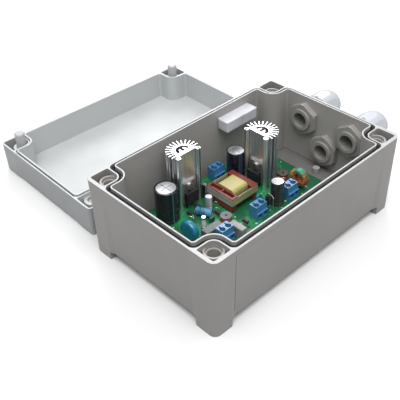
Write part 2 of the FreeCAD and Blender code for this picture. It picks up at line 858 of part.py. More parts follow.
def make_lid_screws():
    """Plastic screws in the lid: three are held up in their wells, and the one at the near left has dropped."""
    screws = []
    for number, (x, y) in enumerate(CORNERS):
        dropped = number == 0
        head = cylinder(f"lid_screw_head_{number}", "lid_screw_head", "lid_screw_head_height")
        shank = cylinder(f"lid_screw_shank_{number}", "lid_screw_radius", "lid_screw_length - lid_screw_tip")
        tip = document.addObject("Part::Cone", f"lid_screw_tip_{number}")
        bind(tip, Radius1="lid_screw_radius", Radius2="lid_screw_radius - lid_screw_tip",
             Height="lid_screw_tip")
        place(tip, z="lid_screw_length - lid_screw_tip")
        slot = box(f"lid_screw_slot_{number}", "3 * lid_screw_head", "lid_screw_slot",
                   "lid_screw_head_height")
        bind(slot, Placement__Base__z="-lid_screw_head_height / 2")
        screw = cut(f"lid_screw_{number}", fuse(f"lid_screw_whole_{number}", [head, shank, tip]), slot)
        across, away = "(half_length - screw_inset)", "(half_width - screw_inset)"
        place(
            screw,
            f"lid_x + {across} * {x} * cos(lid_turn * 1 deg) - {away} * {y} * sin(lid_turn * 1 deg)",
            f"lid_y + {across} * {x} * sin(lid_turn * 1 deg) + {away} * {y} * cos(lid_turn * 1 deg)",
            "0" if dropped else "lid_well_depth - lid_screw_head_height - 0.1",
        )
        screws.append(screw)
    return group("lid_screws", screws)


def make_label():
    """The blank rating plate, which follows the leaning front wall."""
    panel = document.addObject("Part::Feature", "FrontPanel")
    base = document.getObject("BaseBox").Shape
    depth = measure("label_thickness")
    width = measure("label_right - label_left")
    height = measure("label_top - label_bottom")
    reach = measure("panel_lean") + depth
    corner = Vector(measure("label_left"), measure("-half_width - label_thickness"), measure("label_bottom"))
    blank = Part.makeBox(width, reach, height, corner)
    raised = base.copy()
    raised.translate(Vector(0, -depth, 0))
    panel.Shape = raised.common(blank).cut(base).Solids[0]
    return keep(panel, "rating_label")


# Cable glands


def gland_places():
    return [(f"gland_{name}_y", f"gland_{name}_z") for name in ("back", "middle", "front")]


def hexagon(name, flats, length, x, y, z):
    """A hexagonal prism along X with a corner on top."""
    prism = document.addObject("Part::Prism", name)
    prism.Polygon = 6
    bind(prism, Circumradius=f"({flats}) / (2 * cos(30 deg))", Height=length)
    return place(prism, x, y, z, ALONG_X)


def make_gland(number, y, z):
    """One cable gland: body with thread end and flange, inner nut, domed cap nut and rubber insert."""
    bore_end = "nut_face - gland_end"
    tube = cylinder(f"gland_tube_{number}", "gland_radius",
                    f"cap_face + gland_cap_length * 0.6 - ({bore_end})",
                    bore_end, y, z, ALONG_X)
    flange = hexagon(f"gland_flange_{number}", "gland_flats", "gland_flange", "flange_face", y, z)
    bore = cylinder(f"gland_bore_{number}", "gland_bore", "box_length", "nut_face - box_length / 4", y, z,
                    ALONG_X)
    body = cut(f"gland_body_{number}", fuse(f"gland_whole_{number}", [tube, flange]), bore)
    keep(body, f"gland_{number}_body")

    prism = hexagon(f"gland_nut_prism_{number}", "gland_flats", "gland_nut_thickness", "nut_face", y, z)
    dome = document.addObject("Part::Cone", f"gland_nut_dome_{number}")
    bind(dome, Radius1="gland_nut_round - gland_nut_bevel", Radius2="gland_nut_round + gland_nut_bevel")
    bind(dome, Height="gland_nut_thickness")
    place(dome, "nut_face", y, z, ALONG_X)
    nut_hole = cylinder(f"gland_nut_hole_{number}", "gland_radius", "gland_nut_thickness", "nut_face", y, z,
                        ALONG_X)
    nut = cut(f"gland_nut_{number}", common(f"gland_nut_form_{number}", prism, dome), nut_hole)
    keep(nut, f"gland_{number}_nut")

    make_cap(number, y, z)
    insert = cylinder(f"gland_insert_tube_{number}", "gland_bore - gland_clearance",
                      "gland_cap_length * 0.55",
                      "cap_face + 0.5", y, z, ALONG_X)
    insert_bore = cylinder(f"gland_insert_bore_{number}", "gland_insert_bore", "gland_cap_length",
                           "cap_face - 1", y, z, ALONG_X)
    seal = cylinder(f"gland_seal_disc_{number}", "gland_flats / 2 - 0.5", "gland_seal + panel_lean",
                    "half_length - panel_lean", y, z, ALONG_X)
    seal_hole = cylinder(f"gland_seal_hole_{number}", "gland_radius + gland_clearance",
                         "gland_seal + 2 * panel_lean",
                         "half_length - 1.5 * panel_lean", y, z, ALONG_X)
    return cut(f"gland_insert_{number}", insert, insert_bore), cut(f"gland_seal_{number}", seal, seal_hole)


def make_cap(number, y, z):
    """A cap nut: hexagonal below, domed above, with a mouth for the cord."""
    body = new_body(f"GlandCap{number}")
    profile = new_sketch(body, "dome_profile", plane="XZ")
    polygon(profile, (
        ("gland_radius + gland_clearance", "0"),
        ("gland_cap_round", "0"),
        ("gland_cap_round", "gland_cap_length * 0.5"),
        ("gland_cap_round * 0.92", "gland_cap_length * 0.74"),
        ("gland_cap_round * 0.8", "gland_cap_length * 0.9"),
        ("gland_cap_mouth", "gland_cap_length"),
        ("gland_bore", "gland_cap_length"),
        ("gland_bore", "gland_cap_length * 0.62"),
        ("gland_radius + gland_clearance", "gland_cap_length * 0.62"),
    ))
    revolve(body, "dome", profile)
    outside = new_sketch(body, "outside_flats")
    circle(outside, "0", "0", "gland_cap_round + 3")
    corner = "(gland_cap_hex / cos(30 deg))"
    angles = [30 + 60 * step for step in range(6)]
    polygon(outside, [(f"{corner} * cos({angle} deg)", f"{corner} * sin({angle} deg)") for angle in angles])
    pocket(body, "flats", outside, "gland_cap_length", True)
    place(body, "cap_face", y, z, ALONG_X)
    return keep(body, f"gland_{number}_cap")


def make_glands():
    """The three glands of the right wall, with their rubber parts grouped."""
    inserts, seals = [], []
    for number, (y, z) in enumerate(gland_places(), start=1):
        insert, seal = make_gland(number, y, z)
        inserts.append(insert)
        seals.append(seal)
    group("gland_inserts", inserts)
    document.recompute()
    wall = document.getObject("BaseBox").Shape
    rubber = document.addObject("Part::Feature", "GlandSeals")
    rubber.Shape = Part.makeCompound([seal.Shape.cut(wall).Solids[0] for seal in seals])
    keep(rubber, "gland_seals")


# Circuit board


def make_board():
    """The board with its four fixing holes."""
    body = new_body("CircuitBoard")
    sketch = new_sketch(body, "board_outline", height="board_bottom")
    half_x, half_y = "board_length / 2", "board_width / 2"
    rectangle(sketch, f"-{half_x}", half_x, f"-{half_y}", half_y, "board_round")
    for x, y in CORNERS:
        circle(sketch, f"{x} * post_x", f"{y} * post_y", "board_hole")
    pad(body, "board", sketch, "board_thickness")
    return keep(body, "circuit_board")


def make_board_screws():
    """Pan-head screws through the corners of the board into the posts."""
    screws = []
    for number, (x, y) in enumerate(CORNERS):
        at = (f"{x} * post_x", f"{y} * post_y")
        head = cylinder(f"board_screw_head_{number}", "board_screw_head", "board_screw_height", *at,
                        "board_top")
        shank = cylinder(f"board_screw_shank_{number}", "board_screw_shank", "board_screw_length", *at,
                         "board_top - board_screw_length")
        slot = box(f"board_screw_slot_{number}", "3 * board_screw_head", "board_screw_slot",
                   "board_screw_height",
                   *at, "board_top + board_screw_height / 2")
        whole = fuse(f"board_screw_whole_{number}", [head, shank])
        screws.append(cut(f"board_screw_{number}", whole, slot))
    return group("board_screws", screws)


# Heat sinks and transistors


def make_heatsink(label, turn, x, y, z, screw_lift):
    """A finned extrusion: a ring with fourteen fins, a thick web, a closed tube and an open bead."""
    body = new_body("Body_" + label)
    at_ring = {"across": "ring_across", "up": "ring_away"}
    disc = new_sketch(body, "ring_circle", **at_ring)
    circle(disc, "0", "0", "ring_radius")
    pad(body, "ring", disc, "heatsink_height")
    hollow = new_sketch(body, "channel_circles", height="heatsink_height", **at_ring)
    circle(hollow, "0", "0", "ring_channel")
    circle(hollow, "0", "0", "ring_core")
    pocket(body, "ring_channel", hollow, "heatsink_height")
    front = new_sketch(body, "front_cut", height="heatsink_height")
    rectangle(front, "-bead_across", "2 * bead_across", "-ring_radius", "web_front")
    pocket(body, "flat_front", front, "heatsink_height")
    web = new_sketch(body, "web_outline")
    half_chord = "sqrt(ring_radius * ring_radius - (ring_away - web_front) * (ring_away - web_front))"
    rectangle(web, f"ring_across - {half_chord} + 0.1", f"ring_across + {half_chord} - 0.1", "web_front",
              "web_back")
    pad(body, "web", web, "heatsink_height")
    wings = new_sketch(body, "wing_outline")
    rectangle(wings, "0", "bead_across", "web_front", "web_front + wing_thickness")
    pad(body, "wings", wings, "heatsink_height")

    edges = new_sketch(body, "edge_circles")
    circle(edges, "0", "0", "edge_tube")
    circle(edges, "bead_across", "0", "bead_radius")
    pad(body, "edges", edges, "heatsink_height")
    bores = new_sketch(body, "edge_bores", height="heatsink_height")
    circle(bores, "0", "0", "edge_tube_bore")
    circle(bores, "bead_across", "0", "bead_bore")
    pocket(body, "bores", bores, "heatsink_height")
    slots = new_sketch(body, "slots", height="heatsink_height")
    bead = "bead_across"
    rectangle(slots, f"{bead} - bead_slot / 2", f"{bead} + bead_slot / 2", "-2 * bead_radius", "0")
    middle = "middle_channel / 2"
    rectangle(slots, f"ring_across - {middle}", f"ring_across + {middle}", "middle_channel_front",
              "ring_away + (ring_core + ring_channel) / 2")
    pocket(body, "open_slots", slots, "heatsink_height")

    fin = new_sketch(body, "fin_outline", **at_ring)
    bind(fin, AttachmentOffset__Rotation__Angle="fin_first")
    half_fin = "fin_thickness / 2"
    square_outline(fin, (
        ("(ring_radius + ring_channel) / 2", f"-{half_fin}", "0"),
        ("fin_reach", f"-{half_fin}", "fin_tip_round"),
        ("fin_reach", half_fin, "fin_tip_round"),
        ("(ring_radius + ring_channel) / 2", half_fin, "0"),
    ))
    first_fin = pad(body, "fin", fin, "heatsink_height")
    fins = body.newObject("PartDesign::PolarPattern", "fins")
    fins.Originals = [first_fin]
    fins.Axis = (fin, ["N_Axis"])
    bind(fins, Angle="fin_sweep", Occurrences="fin_count")
    body.Tip = fins
    document.recompute()

    hole = new_sketch(body, "screw_circle", plane="XZ", height="0")
    circle(hole, "transistor_across", screw_lift, "transistor_screw")
    pocket(body, "screw_hole", hole, "web_front + transistor_screw_depth")
    place(body, x, y, z, turn)
    return keep(body, label)


def rounded_box(name, length, width, height, radius, wanted):
    """A body that pads a rectangle about its own origin and rounds chosen edges."""
    body = new_body(name)
    sketch = new_sketch(body, "outline")
    rectangle(sketch, f"-({length}) / 2", f"({length}) / 2", f"-({width}) / 2", f"({width}) / 2")
    pad(body, "block", sketch, height)
    soften(body, "rounding", "Fillet", radius, wanted)
    return body


def make_transistor(side, turn, x, y):
    """A transistor with its back to a heat sink web, its pad and screw, in a frame on the web's middle."""
    tab_back = "(web_front - pad_thickness)"
    tab_front = f"({tab_back} - tab_thickness)"
    tab = box(f"{side}_tab_plate", "transistor_width", "tab_thickness", "tab_height", "0",
              f"({tab_back} - tab_thickness / 2)", "transistor_lift")
    hole = cylinder(f"{side}_tab_hole", "tab_hole", "3 * tab_thickness", "0",
                    f"{tab_back} - 2 * tab_thickness",
                    "transistor_screw_lift", ALONG_Y)
    case_depth = "(transistor_depth - tab_thickness)"
    case = box(f"{side}_case", "transistor_width", case_depth, "transistor_height", "0",
               f"({tab_front} - {case_depth} / 2)", "transistor_lift")
    film = box(f"{side}_pad_sheet", "transistor_width + 2 * pad_margin", "pad_thickness",
               "tab_height + 2 * pad_margin", "0", "(web_front - pad_thickness / 2)",
               "transistor_lift - pad_margin")
    film_hole = cylinder(f"{side}_pad_hole", "tab_hole", "3 * pad_thickness", "0",
                         "web_front - 2 * pad_thickness",
                         "transistor_screw_lift", ALONG_Y)
    head = cylinder(f"{side}_screw_head", "transistor_screw_head", "transistor_screw_head_height", "0",
                    f"{tab_front} - transistor_screw_head_height", "transistor_screw_lift", ALONG_Y)
    shank = cylinder(f"{side}_screw_shank", "transistor_screw - 0.05",
                     "tab_thickness + pad_thickness + transistor_screw_depth - 0.2", "0", tab_front,
                     "transistor_screw_lift", ALONG_Y)
    pins = [box(f"{side}_lead_{step}", "lead_width", "lead_thickness", "transistor_lift",
                f"{step - 2} * lead_pitch",
                f"({tab_front} - case_pin_depth)", "0") for step in (1, 2, 3)]
    leads = document.addObject("Part::Compound", f"{side}_leads")
    leads.Links = pins
    pieces = {
        "tab": cut(f"{side}_tab", tab, hole),
        "case": case,
        "pad": cut(f"{side}_pad", film, film_hole),
        "screw": fuse(f"{side}_screw", [head, shank]),
        "leads": leads,
    }
    for name, piece in pieces.items():
        holder = document.addObject("Part::Compound", f"{side}_{name}_placed")
        holder.Links = [piece]
        pieces[name] = place(holder, x, y, "board_top", turn)
    return pieces


def make_heatsinks():
    """Both heat sinks with their transistors; the right one is turned over so that its fins face +X."""
    swapped = Rotation(Vector(1, 1, 0), 180)
    quarter = Rotation(Vector(0, 0, 1), -90)
    left, right = ("heatsink_left_x", "heatsink_left_y"), ("heatsink_right_x", "heatsink_right_y")
    make_heatsink("heatsink_left", Rotation(), *left, "board_top", "transistor_screw_lift")
    make_heatsink("heatsink_right", swapped, *right, "board_top + heatsink_height",
                  "heatsink_height - transistor_screw_lift")
    sides = {
        "left": make_transistor("left", Rotation(), f"{left[0]} + transistor_across", left[1]),
        "right": make_transistor("right", quarter, right[0], f"{right[1]} + transistor_across"),
    }
    for name, pieces in sides.items():
        keep(pieces["tab"], f"transistor_{name}_tab")
        keep(pieces["case"], f"transistor_{name}_case")
    for name, label in (("pad", "insulating_pads"), ("screw", "transistor_screws"), ("leads", "transistor_leads")):
        group(label, [pieces[name] for pieces in sides.values()])


# Capacitors


def make_capacitor(label, lying=False):
    """One electrolytic capacitor: an aluminium can and the sleeve that is shrunk over its edge."""
    radius, height = f"{label}_radius", f"{label}_height"
    can_radius = f"({radius} - sleeve_thickness - can_fit)"
    can = new_body("Can_" + label)
    profile = new_sketch(can, "can_profile", plane="XZ")
    inner_crimp = f"({can_radius} - crimp_depth)"
    polygon(profile, (
        ("0", "0"),
        (can_radius, "0"),
        (can_radius, "crimp_height - crimp_spread"),
        (inner_crimp, "crimp_height"),
        (can_radius, "crimp_height + crimp_spread"),
        (can_radius, f"{height} - sleeve_thickness"),
        ("0", f"{height} - sleeve_thickness"),
    ))
    revolve(can, "can", profile)
    sleeve = new_body("Sleeve_" + label)
    skin = new_sketch(sleeve, "sleeve_profile", plane="XZ")
    inner, outer = f"({radius} - sleeve_thickness)", radius
    polygon(skin, (
        (inner, "0"),
        (outer, "0"),
        (outer, "crimp_height - crimp_spread"),
        (f"{outer} - crimp_depth", "crimp_height"),
        (outer, "crimp_height + crimp_spread"),
        (outer, f"{height} - sleeve_edge"),
        (f"{outer} - sleeve_edge", height),
        (f"{outer} - {label}_lip", height),
        (f"{outer} - {label}_lip", f"{height} - sleeve_thickness"),
        (inner, f"{height} - sleeve_thickness"),
        (inner, "crimp_height + crimp_spread"),
        (f"{inner} - crimp_depth", "crimp_height"),
        (inner, "crimp_height - crimp_spread"),
    ))
    revolve(sleeve, "sleeve", skin)
    height_of_base = "board_top + lying_lift" if lying else "board_top"
    turn = turned(measure("lying_turn"), Rotation(Vector(1, 0, 0), 90)) if lying else None
    for piece, name in ((can, "can"), (sleeve, "sleeve")):
        place(piece, f"{label}_x", f"{label}_y", height_of_base, turn)
        keep(piece, f"{label}_{name}")


def make_capacitors():
    for label in CAPACITORS:
        make_capacitor(label, lying=label == "lying_capacitor")


# Transformer


def make_transformer():
    """A ferrite core round a bobbin with its winding, and a band of tape round the core."""
    at = ("core_x", "core_y")
    frame = box("core_block", "core_length", "core_width", "core_thickness", *at, "core_bottom")
    window_length = "core_length - 2 * core_back"
    window_width = "(core_width / 2 - core_side - core_centre / 2)"
    window_y = "(core_centre / 2 + core_width / 2 - core_side) / 2"
    windows = [box(f"core_window_{side}", window_length, window_width, "core_thickness",
                   "core_x", f"(core_y + ({sign}) * {window_y})", "core_bottom")
               for side, sign in (("front", -1), ("back", 1))]
    keep(cut("core", frame, fuse("core_windows", windows)), "transformer_core")

    tape_height = "tape_top - tape_bottom"
    band = box("tape_block", "core_length + 2 * core_tape", "core_width + 2 * core_tape", tape_height,
               *at, "tape_bottom")
    inside = box("tape_inside", "core_length", "core_width", tape_height, *at, "tape_bottom")
    keep(cut("tape", band, inside), "transformer_tape")
    make_bobbin(window_length)
    make_winding(window_length)


def make_bobbin(window_length):
    """The bobbin: a tube, flanges, pin rails and brimmed shelves, the left one with pockets."""
    at = ("core_x", "core_y")
    tube_width = "core_centre + 2 * (bobbin_wall + bobbin_fit)"
    tube_height = "core_thickness + 2 * (bobbin_wall + bobbin_fit)"
    tube_bottom = "core_bottom - bobbin_wall - bobbin_fit"
    tube = box("bobbin_tube", f"{window_length} - 2 * bobbin_fit", tube_width, tube_height, *at, tube_bottom)
    hole = box("bobbin_hole", "core_length", "core_centre + 2 * bobbin_fit",
               "core_thickness + 2 * bobbin_fit",
               *at, "core_bottom - bobbin_fit")
    pieces = [tube]
    hollows = [hole]
    flange_x = f"(({window_length}) / 2 - bobbin_fit - bobbin_flange / 2)"
    flange_width = "core_width - 2 * core_side - 2 * bobbin_fit"
    shelf_length = "(core_back + bobbin_flange + bobbin_fit - 0.1)"
    shelf_x = f"(core_length / 2 - 0.1 - {shelf_length} / 2)"
    shelf_width = "(core_width - 2 * bobbin_fit)"
    brim_length = f"({shelf_length} + core_tape + 0.1)"
    brim_x = f"(core_length / 2 + core_tape - {brim_length} / 2)"
    rail_bottom = "board_top + bobbin_rail_lift"
    pocket_width = f"(({shelf_width}) / 2 - 1.5 * bobbin_pocket_margin)"
    for side, sign in (("left", -1), ("right", 1)):
        x = f"(core_x + ({sign}) * {flange_x})"
        pieces.append(box(f"bobbin_flange_{side}", "bobbin_flange", flange_width,
                          f"shelf_top - ({rail_bottom})", x, "core_y", rail_bottom))
        shelf = f"(core_x + ({sign}) * {shelf_x})"
        pieces.append(box(f"bobbin_shelf_{side}", shelf_length, shelf_width, "bobbin_shelf - bobbin_fit",
                          shelf, "core_y", "core_top + bobbin_fit"))
        pieces.append(box(f"bobbin_brim_{side}", brim_length, "core_width + 2 * core_tape", "bobbin_brim",
                          f"(core_x + ({sign}) * {brim_x})", "core_y", "tape_top"))
        rail = f"(core_x + ({sign}) * (core_length / 2 - bobbin_rail / 2 + 0.3))"
        pieces.append(box(f"bobbin_rail_{side}", "bobbin_rail", "core_width",
                          f"core_bottom - bobbin_fit - ({rail_bottom})", rail, "core_y", rail_bottom))
    for half, turn in (("front", -1), ("back", 1)):
        y = f"(core_y + ({turn}) * ({pocket_width} + bobbin_pocket_margin) / 2)"
        hollows.append(box(f"bobbin_pocket_{half}", f"{shelf_length} - 2 * bobbin_pocket_margin",
                           pocket_width,
                           "bobbin_shelf", f"(core_x - {shelf_x})", y, "shelf_top - bobbin_pocket_depth"))
    pins = []
    for side, sign in (("left", -1), ("right", 1)):
        for step in range(int(measure("pin_count"))):
            pins.append(cylinder(f"bobbin_pin_{side}_{step}", "pin_radius", "bobbin_rail_lift",
                                 f"core_x + ({sign}) * (core_length / 2 - bobbin_rail / 2 + 0.3)",
                                 f"core_y + ({step} - (pin_count - 1) / 2) * pin_pitch", "board_top"))
    keep(cut("bobbin", fuse("bobbin_whole", pieces), fuse("bobbin_hollows", hollows)), "transformer_bobbin")
    group("transformer_pins", pins)


def make_winding(window_length):
    """The taped winding, a rounded block round the bobbin tube."""
    length = f"({window_length} - 2 * (bobbin_fit + bobbin_flange + winding_gap))"
    body = new_body("Winding")
    sketch = new_sketch(body, "winding_outline", plane="YZ", height=f"-{length} / 2")
    half, rise = "winding_width / 2", "winding_height / 2"
    rectangle(sketch, f"-{half}", half, f"winding_lift - {rise}", f"winding_lift + {rise}", "winding_round")
    inner = "core_centre / 2 + bobbin_wall + bobbin_fit"
    low = "core_thickness / 2 + bobbin_wall + bobbin_fit"
    rectangle(sketch, f"-({inner})", inner, f"-({low})", low)
    pad(body, "winding", sketch, length)
    place(body, "core_x", "core_y", "core_bottom + core_thickness / 2")
    return keep(body, "transformer_winding")


# Terminals


def make_terminal(label, screws, clamps):
    """One two-pole screw terminal: stepped housing, two screws from above and two wire clamps."""
    body = new_body("Housing_" + label)
    profile = new_sketch(body, "side_profile", plane="YZ", height="-terminal_width / 2")
    front = "(terminal_depth - terminal_top)"
    polygon(profile, (
        ("0", "0"),
        ("terminal_depth", "0"),
        ("terminal_depth", "terminal_height"),
        (front, "terminal_height"),
        (f"{front} * 0.75", "terminal_step"),
        ("0", "terminal_step"),
    ))
    pad(body, "housing", profile, "terminal_width")
    shafts = new_sketch(body, "screw_circles", height="terminal_height")
    entries = new_sketch(body, "entry_outline", plane="XZ", height="0")
    slots = new_sketch(body, "slot_outline", height="terminal_height")
    poles = [f"(({side}) * terminal_pitch / 2)" for side in (-1, 1)]
    entry = "terminal_entry / 2"
    slot = "terminal_slot / 2"
    slot_y = "(terminal_depth - terminal_slot_back)"
    for pole in poles:
        circle(shafts, pole, "terminal_screw_back", "terminal_screw_hole")
        rectangle(entries, f"{pole} - {entry}", f"{pole} + {entry}", "terminal_entry_lift",
                  "terminal_entry_lift + terminal_entry_height")
        rectangle(slots, f"{pole} - {slot}", f"{pole} + {slot}", f"{slot_y} - {slot}", f"{slot_y} + {slot}")
    shaft_depth = "terminal_height - terminal_entry_lift - terminal_entry_height / 2"
    pocket(body, "screw_shafts", shafts, shaft_depth)
    pocket(body, "wire_entries", entries, "terminal_entry_depth")
    pocket(body, "test_slots", slots, "terminal_slot_depth")
    at = (f"{label}_x", f"{label}_y", "board_top")
    place(body, *at)
    for number, pole in enumerate(poles):
        top = "board_top + terminal_height - terminal_screw_drop"
        x, y = f"{label}_x + {pole}", f"{label}_y + terminal_screw_back"
        head = cylinder(f"{label}_screw_head_{number}", "terminal_screw", "terminal_screw_length", x, y,
                        f"{top} - terminal_screw_length")
        slit = box(f"{label}_screw_slit_{number}", "3 * terminal_screw", "terminal_screw_slot",
                   "terminal_screw",
                   x, y, f"{top} - terminal_screw_slot")
        screws.append(cut(f"{label}_screw_{number}", head, slit))
        fit = "terminal_clamp_fit"
        clamp_width = f"terminal_entry - 2 * {fit}"
        clamp_height = f"terminal_entry_height - 2 * {fit}"
        clamp_bottom = f"board_top + terminal_entry_lift + {fit}"
        clamp_y = f"({label}_y + terminal_entry_depth - {fit} - terminal_clamp_depth / 2)"
        clamp = box(f"{label}_clamp_block_{number}", clamp_width, "terminal_clamp_depth", clamp_height, x,
                    clamp_y,
                    clamp_bottom)
        eye = box(f"{label}_clamp_eye_{number}", f"{clamp_width} - 2 * terminal_clamp_wall",
                  "2 * terminal_clamp_depth", f"{clamp_height} - 2 * terminal_clamp_wall", x, clamp_y,
                  f"{clamp_bottom} + terminal_clamp_wall")
        clamps.append(cut(f"{label}_clamp_{number}", clamp, eye))
    return body


def make_terminals():
    screws, clamps = [], []
    housings = [make_terminal(label, screws, clamps) for label in TERMINAL_PLACES]
    group("terminal_housings", housings)
    group("terminal_screws", screws)
    group("terminal_clamps", clamps)


# Small parts on the board


def lead_path(name, points, radius):
    """A round wire through points, with each bend cut across at three wire radii."""
    wire = document.addObject("Part::Feature", name)
    corners = [Vector(*(measure(text) for text in point)) for point in points]
    thick = measure(radius)
    stops = [corners[0]]
    for last, corner, following in zip(corners, corners[1:], corners[2:]):
        stops.append(corner + (last - corner).normalize() * 3 * thick)
        stops.append(corner + (following - corner).normalize() * 3 * thick)
    stops.append(corners[-1])
    ring = Part.Wire(Part.makeCircle(thick, corners[0], corners[1] - corners[0]))
    wire.Shape = Part.makePolygon(stops).makePipeShell([ring], True, True, 1)
    return wire


def make_varistor():
    """A coated disc that stands on two leads."""
    body = new_body("Varistor")
    sketch = new_sketch(body, "half_profile", plane="XZ")
    half = "varistor_thickness / 2"
    rim = [
        ("varistor_radius - varistor_round", half),
        ("varistor_radius - varistor_round * 0.3", f"{half} - varistor_round * 0.3"),
        ("varistor_radius", f"{half} - varistor_round"),
    ]
    below = [(x, f"-({z})") for x, z in reversed(rim)]
    polygon(sketch, [("0", half), *rim, *below, ("0", f"-({half})")])
    revolve(body, "disc", sketch)
    place(body, "varistor_x", "varistor_y", "board_top + varistor_lift",
          turned(measure("varistor_turn"), ALONG_Y))
    keep(body, "varistor")
    turn = "varistor_turn * 1 deg"
    reach = "varistor_lead_gap / 2"
    drop = "sqrt(varistor_radius * varistor_radius - varistor_lead_gap * varistor_lead_gap / 4)"
    return [cylinder(f"varistor_lead_{name}", "thin_lead", f"varistor_lift - {drop} - thin_lead",
                     f"varistor_x + ({sign}) * {reach} * cos({turn})",
                     f"varistor_y + ({sign}) * {reach} * sin({turn})", "board_top")
            for name, sign in (("one", -1), ("two", 1))]


def make_film_capacitors():
    """Two box film capacitors."""
    for name in ("long_film", "short_film"):
        body = rounded_box("Case_" + name, f"{name}_length", f"{name}_width", f"{name}_height", "film_round",
                           lambda edge: edge.BoundBox.ZMax > 0.01)
        place(body, f"{name}_x", f"{name}_y", "board_top")
        keep(body, f"{name}_capacitor")


def make_fuse():
    """An upright glass fuse with a metal cap at each end and its wire inside."""
    at = ("fuse_x", "fuse_y")
    inner = "(fuse_radius - fuse_wall)"
    glass = cylinder("fuse_glass", "fuse_radius", "fuse_height - 2 * fuse_cap_wall", *at,
                     "board_top + fuse_cap_wall")
    hollow = cylinder("fuse_hollow", inner, "fuse_height", *at, "board_top")
    keep(cut("fuse_glass_tube", glass, hollow), "fuse_tube")
    caps = []
    cap_radius = "fuse_radius + fuse_cap_wall + can_fit"
    for name, bottom in (("lower", "board_top"), ("upper", "board_top + fuse_height - fuse_cap")):
        cap = cylinder(f"fuse_cap_{name}", cap_radius, "fuse_cap", *at, bottom)
        seat_bottom = "board_top + fuse_cap_wall" if name == "lower" else bottom
        seat = cylinder(f"fuse_seat_{name}", "fuse_radius + can_fit", "fuse_cap - fuse_cap_wall", *at,
                        seat_bottom)
        caps.append(cut(f"fuse_end_{name}", cap, seat))
    group("fuse_caps", caps)


def make_chokes():
    """Two drum chokes: a ferrite drum each, and its copper winding."""
    drums, windings = [], []
    for name in ("choke_one", "choke_two"):
        at = (f"{name}_x", f"{name}_y")
        body = new_body("Drum_" + name)
        profile = new_sketch(body, "drum_profile", plane="XZ")
        polygon(profile, (
            ("choke_hole", "0"),
            ("choke_radius", "0"),
            ("choke_radius", "choke_flange"),
            ("choke_waist", "choke_flange"),
            ("choke_waist", f"{name}_height - choke_flange"),
            ("choke_radius", f"{name}_height - choke_flange"),
            ("choke_radius", f"{name}_height"),
            ("choke_hole", f"{name}_height"),
        ))
        revolve(body, "drum", profile)
        place(body, *at, "board_top")
        drums.append(body)
        coil = cylinder(f"{name}_coil", "choke_winding", f"{name}_height - 2 * choke_flange", *at,
                        "board_top + choke_flange")
        bore = cylinder(f"{name}_coil_bore", "choke_waist", f"{name}_height", *at, "board_top")
        windings.append(cut(f"{name}_winding", coil, bore))
    group("choke_cores", drums)
    group("choke_windings", windings)


def make_toroid():
    """A standing ring core with turns of wire round all of it but the top."""
    body = new_body("ToroidCore")
    sketch = new_sketch(body, "ring_circles", plane="YZ", height="-toroid_width / 2")
    circle(sketch, "0", "0", "toroid_radius")
    circle(sketch, "0", "0", "toroid_hole")
    pad(body, "ring", sketch, "toroid_width")
    soften(body, "rounding", "Chamfer", "toroid_round", lambda edge: True)
    lift = "board_top + toroid_radius + 2 * toroid_wire"
    place(body, "toroid_x", "toroid_y", lift)
    keep(body, "toroid_core")

    turns = []
    count = int(measure("toroid_turns"))
    wire = measure("toroid_wire")
    inner, outer = measure("toroid_hole"), measure("toroid_radius")
    half = measure("toroid_width") / 2
    bare = measure("toroid_bare")
    slack = inner - math.sqrt(inner * inner - wire * wire / 4)
    for step in range(count):
        angle = 90 + bare / 2 + step * (360 - bare) / (count - 1)
        turn = Part.makeBox(2 * (half + wire), wire, outer - inner + 2 * wire,
                            Vector(-half - wire, -wire / 2, inner - wire))
        window = Part.makeBox(2 * half, 3 * wire, outer - inner + slack,
                              Vector(-half, -1.5 * wire, inner - slack))
        loop = turn.cut(window)
        loop = loop.makeFillet(wire * 0.3, [edge for edge in loop.Edges if edge.Length > wire * 0.9
                                            and edge.BoundBox.XLength < 0.01 and edge.BoundBox.YLength > wire / 2])
        loop.rotate(Vector(), Vector(1, 0, 0), angle - 90)
        loop.translate(Vector(measure("toroid_x"), measure("toroid_y"), measure(lift)))
        turns.append(loop)
    winding = document.addObject("Part::Feature", "ToroidWinding")
    winding.Shape = Part.makeCompound(turns)
    return keep(winding, "toroid_winding")


def make_axial_parts():
    """Axial parts that lie along Y on bent leads, and one diode that stands upright."""
    bodies, leads = [], []
    for label in AXIAL_PLACES:
        x, y = f"{label}_x", f"{label}_y"
        middle = "board_top + axial_lift"
        bodies.append(cylinder(f"{label}_body", "axial_radius", "axial_length", x,
                               f"{y} - axial_length / 2", middle,
                               ALONG_Y))
        for name, sign in (("near", -1), ("far", 1)):
            face = f"{y} + ({sign}) * axial_length / 2"
            foot = f"{y} + ({sign}) * (axial_length / 2 + axial_reach)"
            leads.append(lead_path(f"{label}_lead_{name}",
                                   ((x, face, middle), (x, foot, middle), (x, foot, "board_top")),
                                   "axial_lead"))
    stand = "board_top + diode_lift"
    bodies.append(cylinder("diode_body", "diode_radius", "diode_height", "diode_x", "diode_y", stand))
    leads.append(cylinder("diode_foot", "axial_lead", "diode_lift", "diode_x", "diode_y", "board_top"))
    crown = f"{stand} + diode_height"
    over = f"{crown} + diode_lead_rise"
    leads.append(lead_path("diode_loop", (("diode_x", "diode_y", crown), ("diode_x", "diode_y", over),
                                          ("diode_lead_x", "diode_lead_y", over),
                                          ("diode_lead_x", "diode_lead_y", "board_top")), "axial_lead"))
    group("axial_bodies", bodies)
    return leads


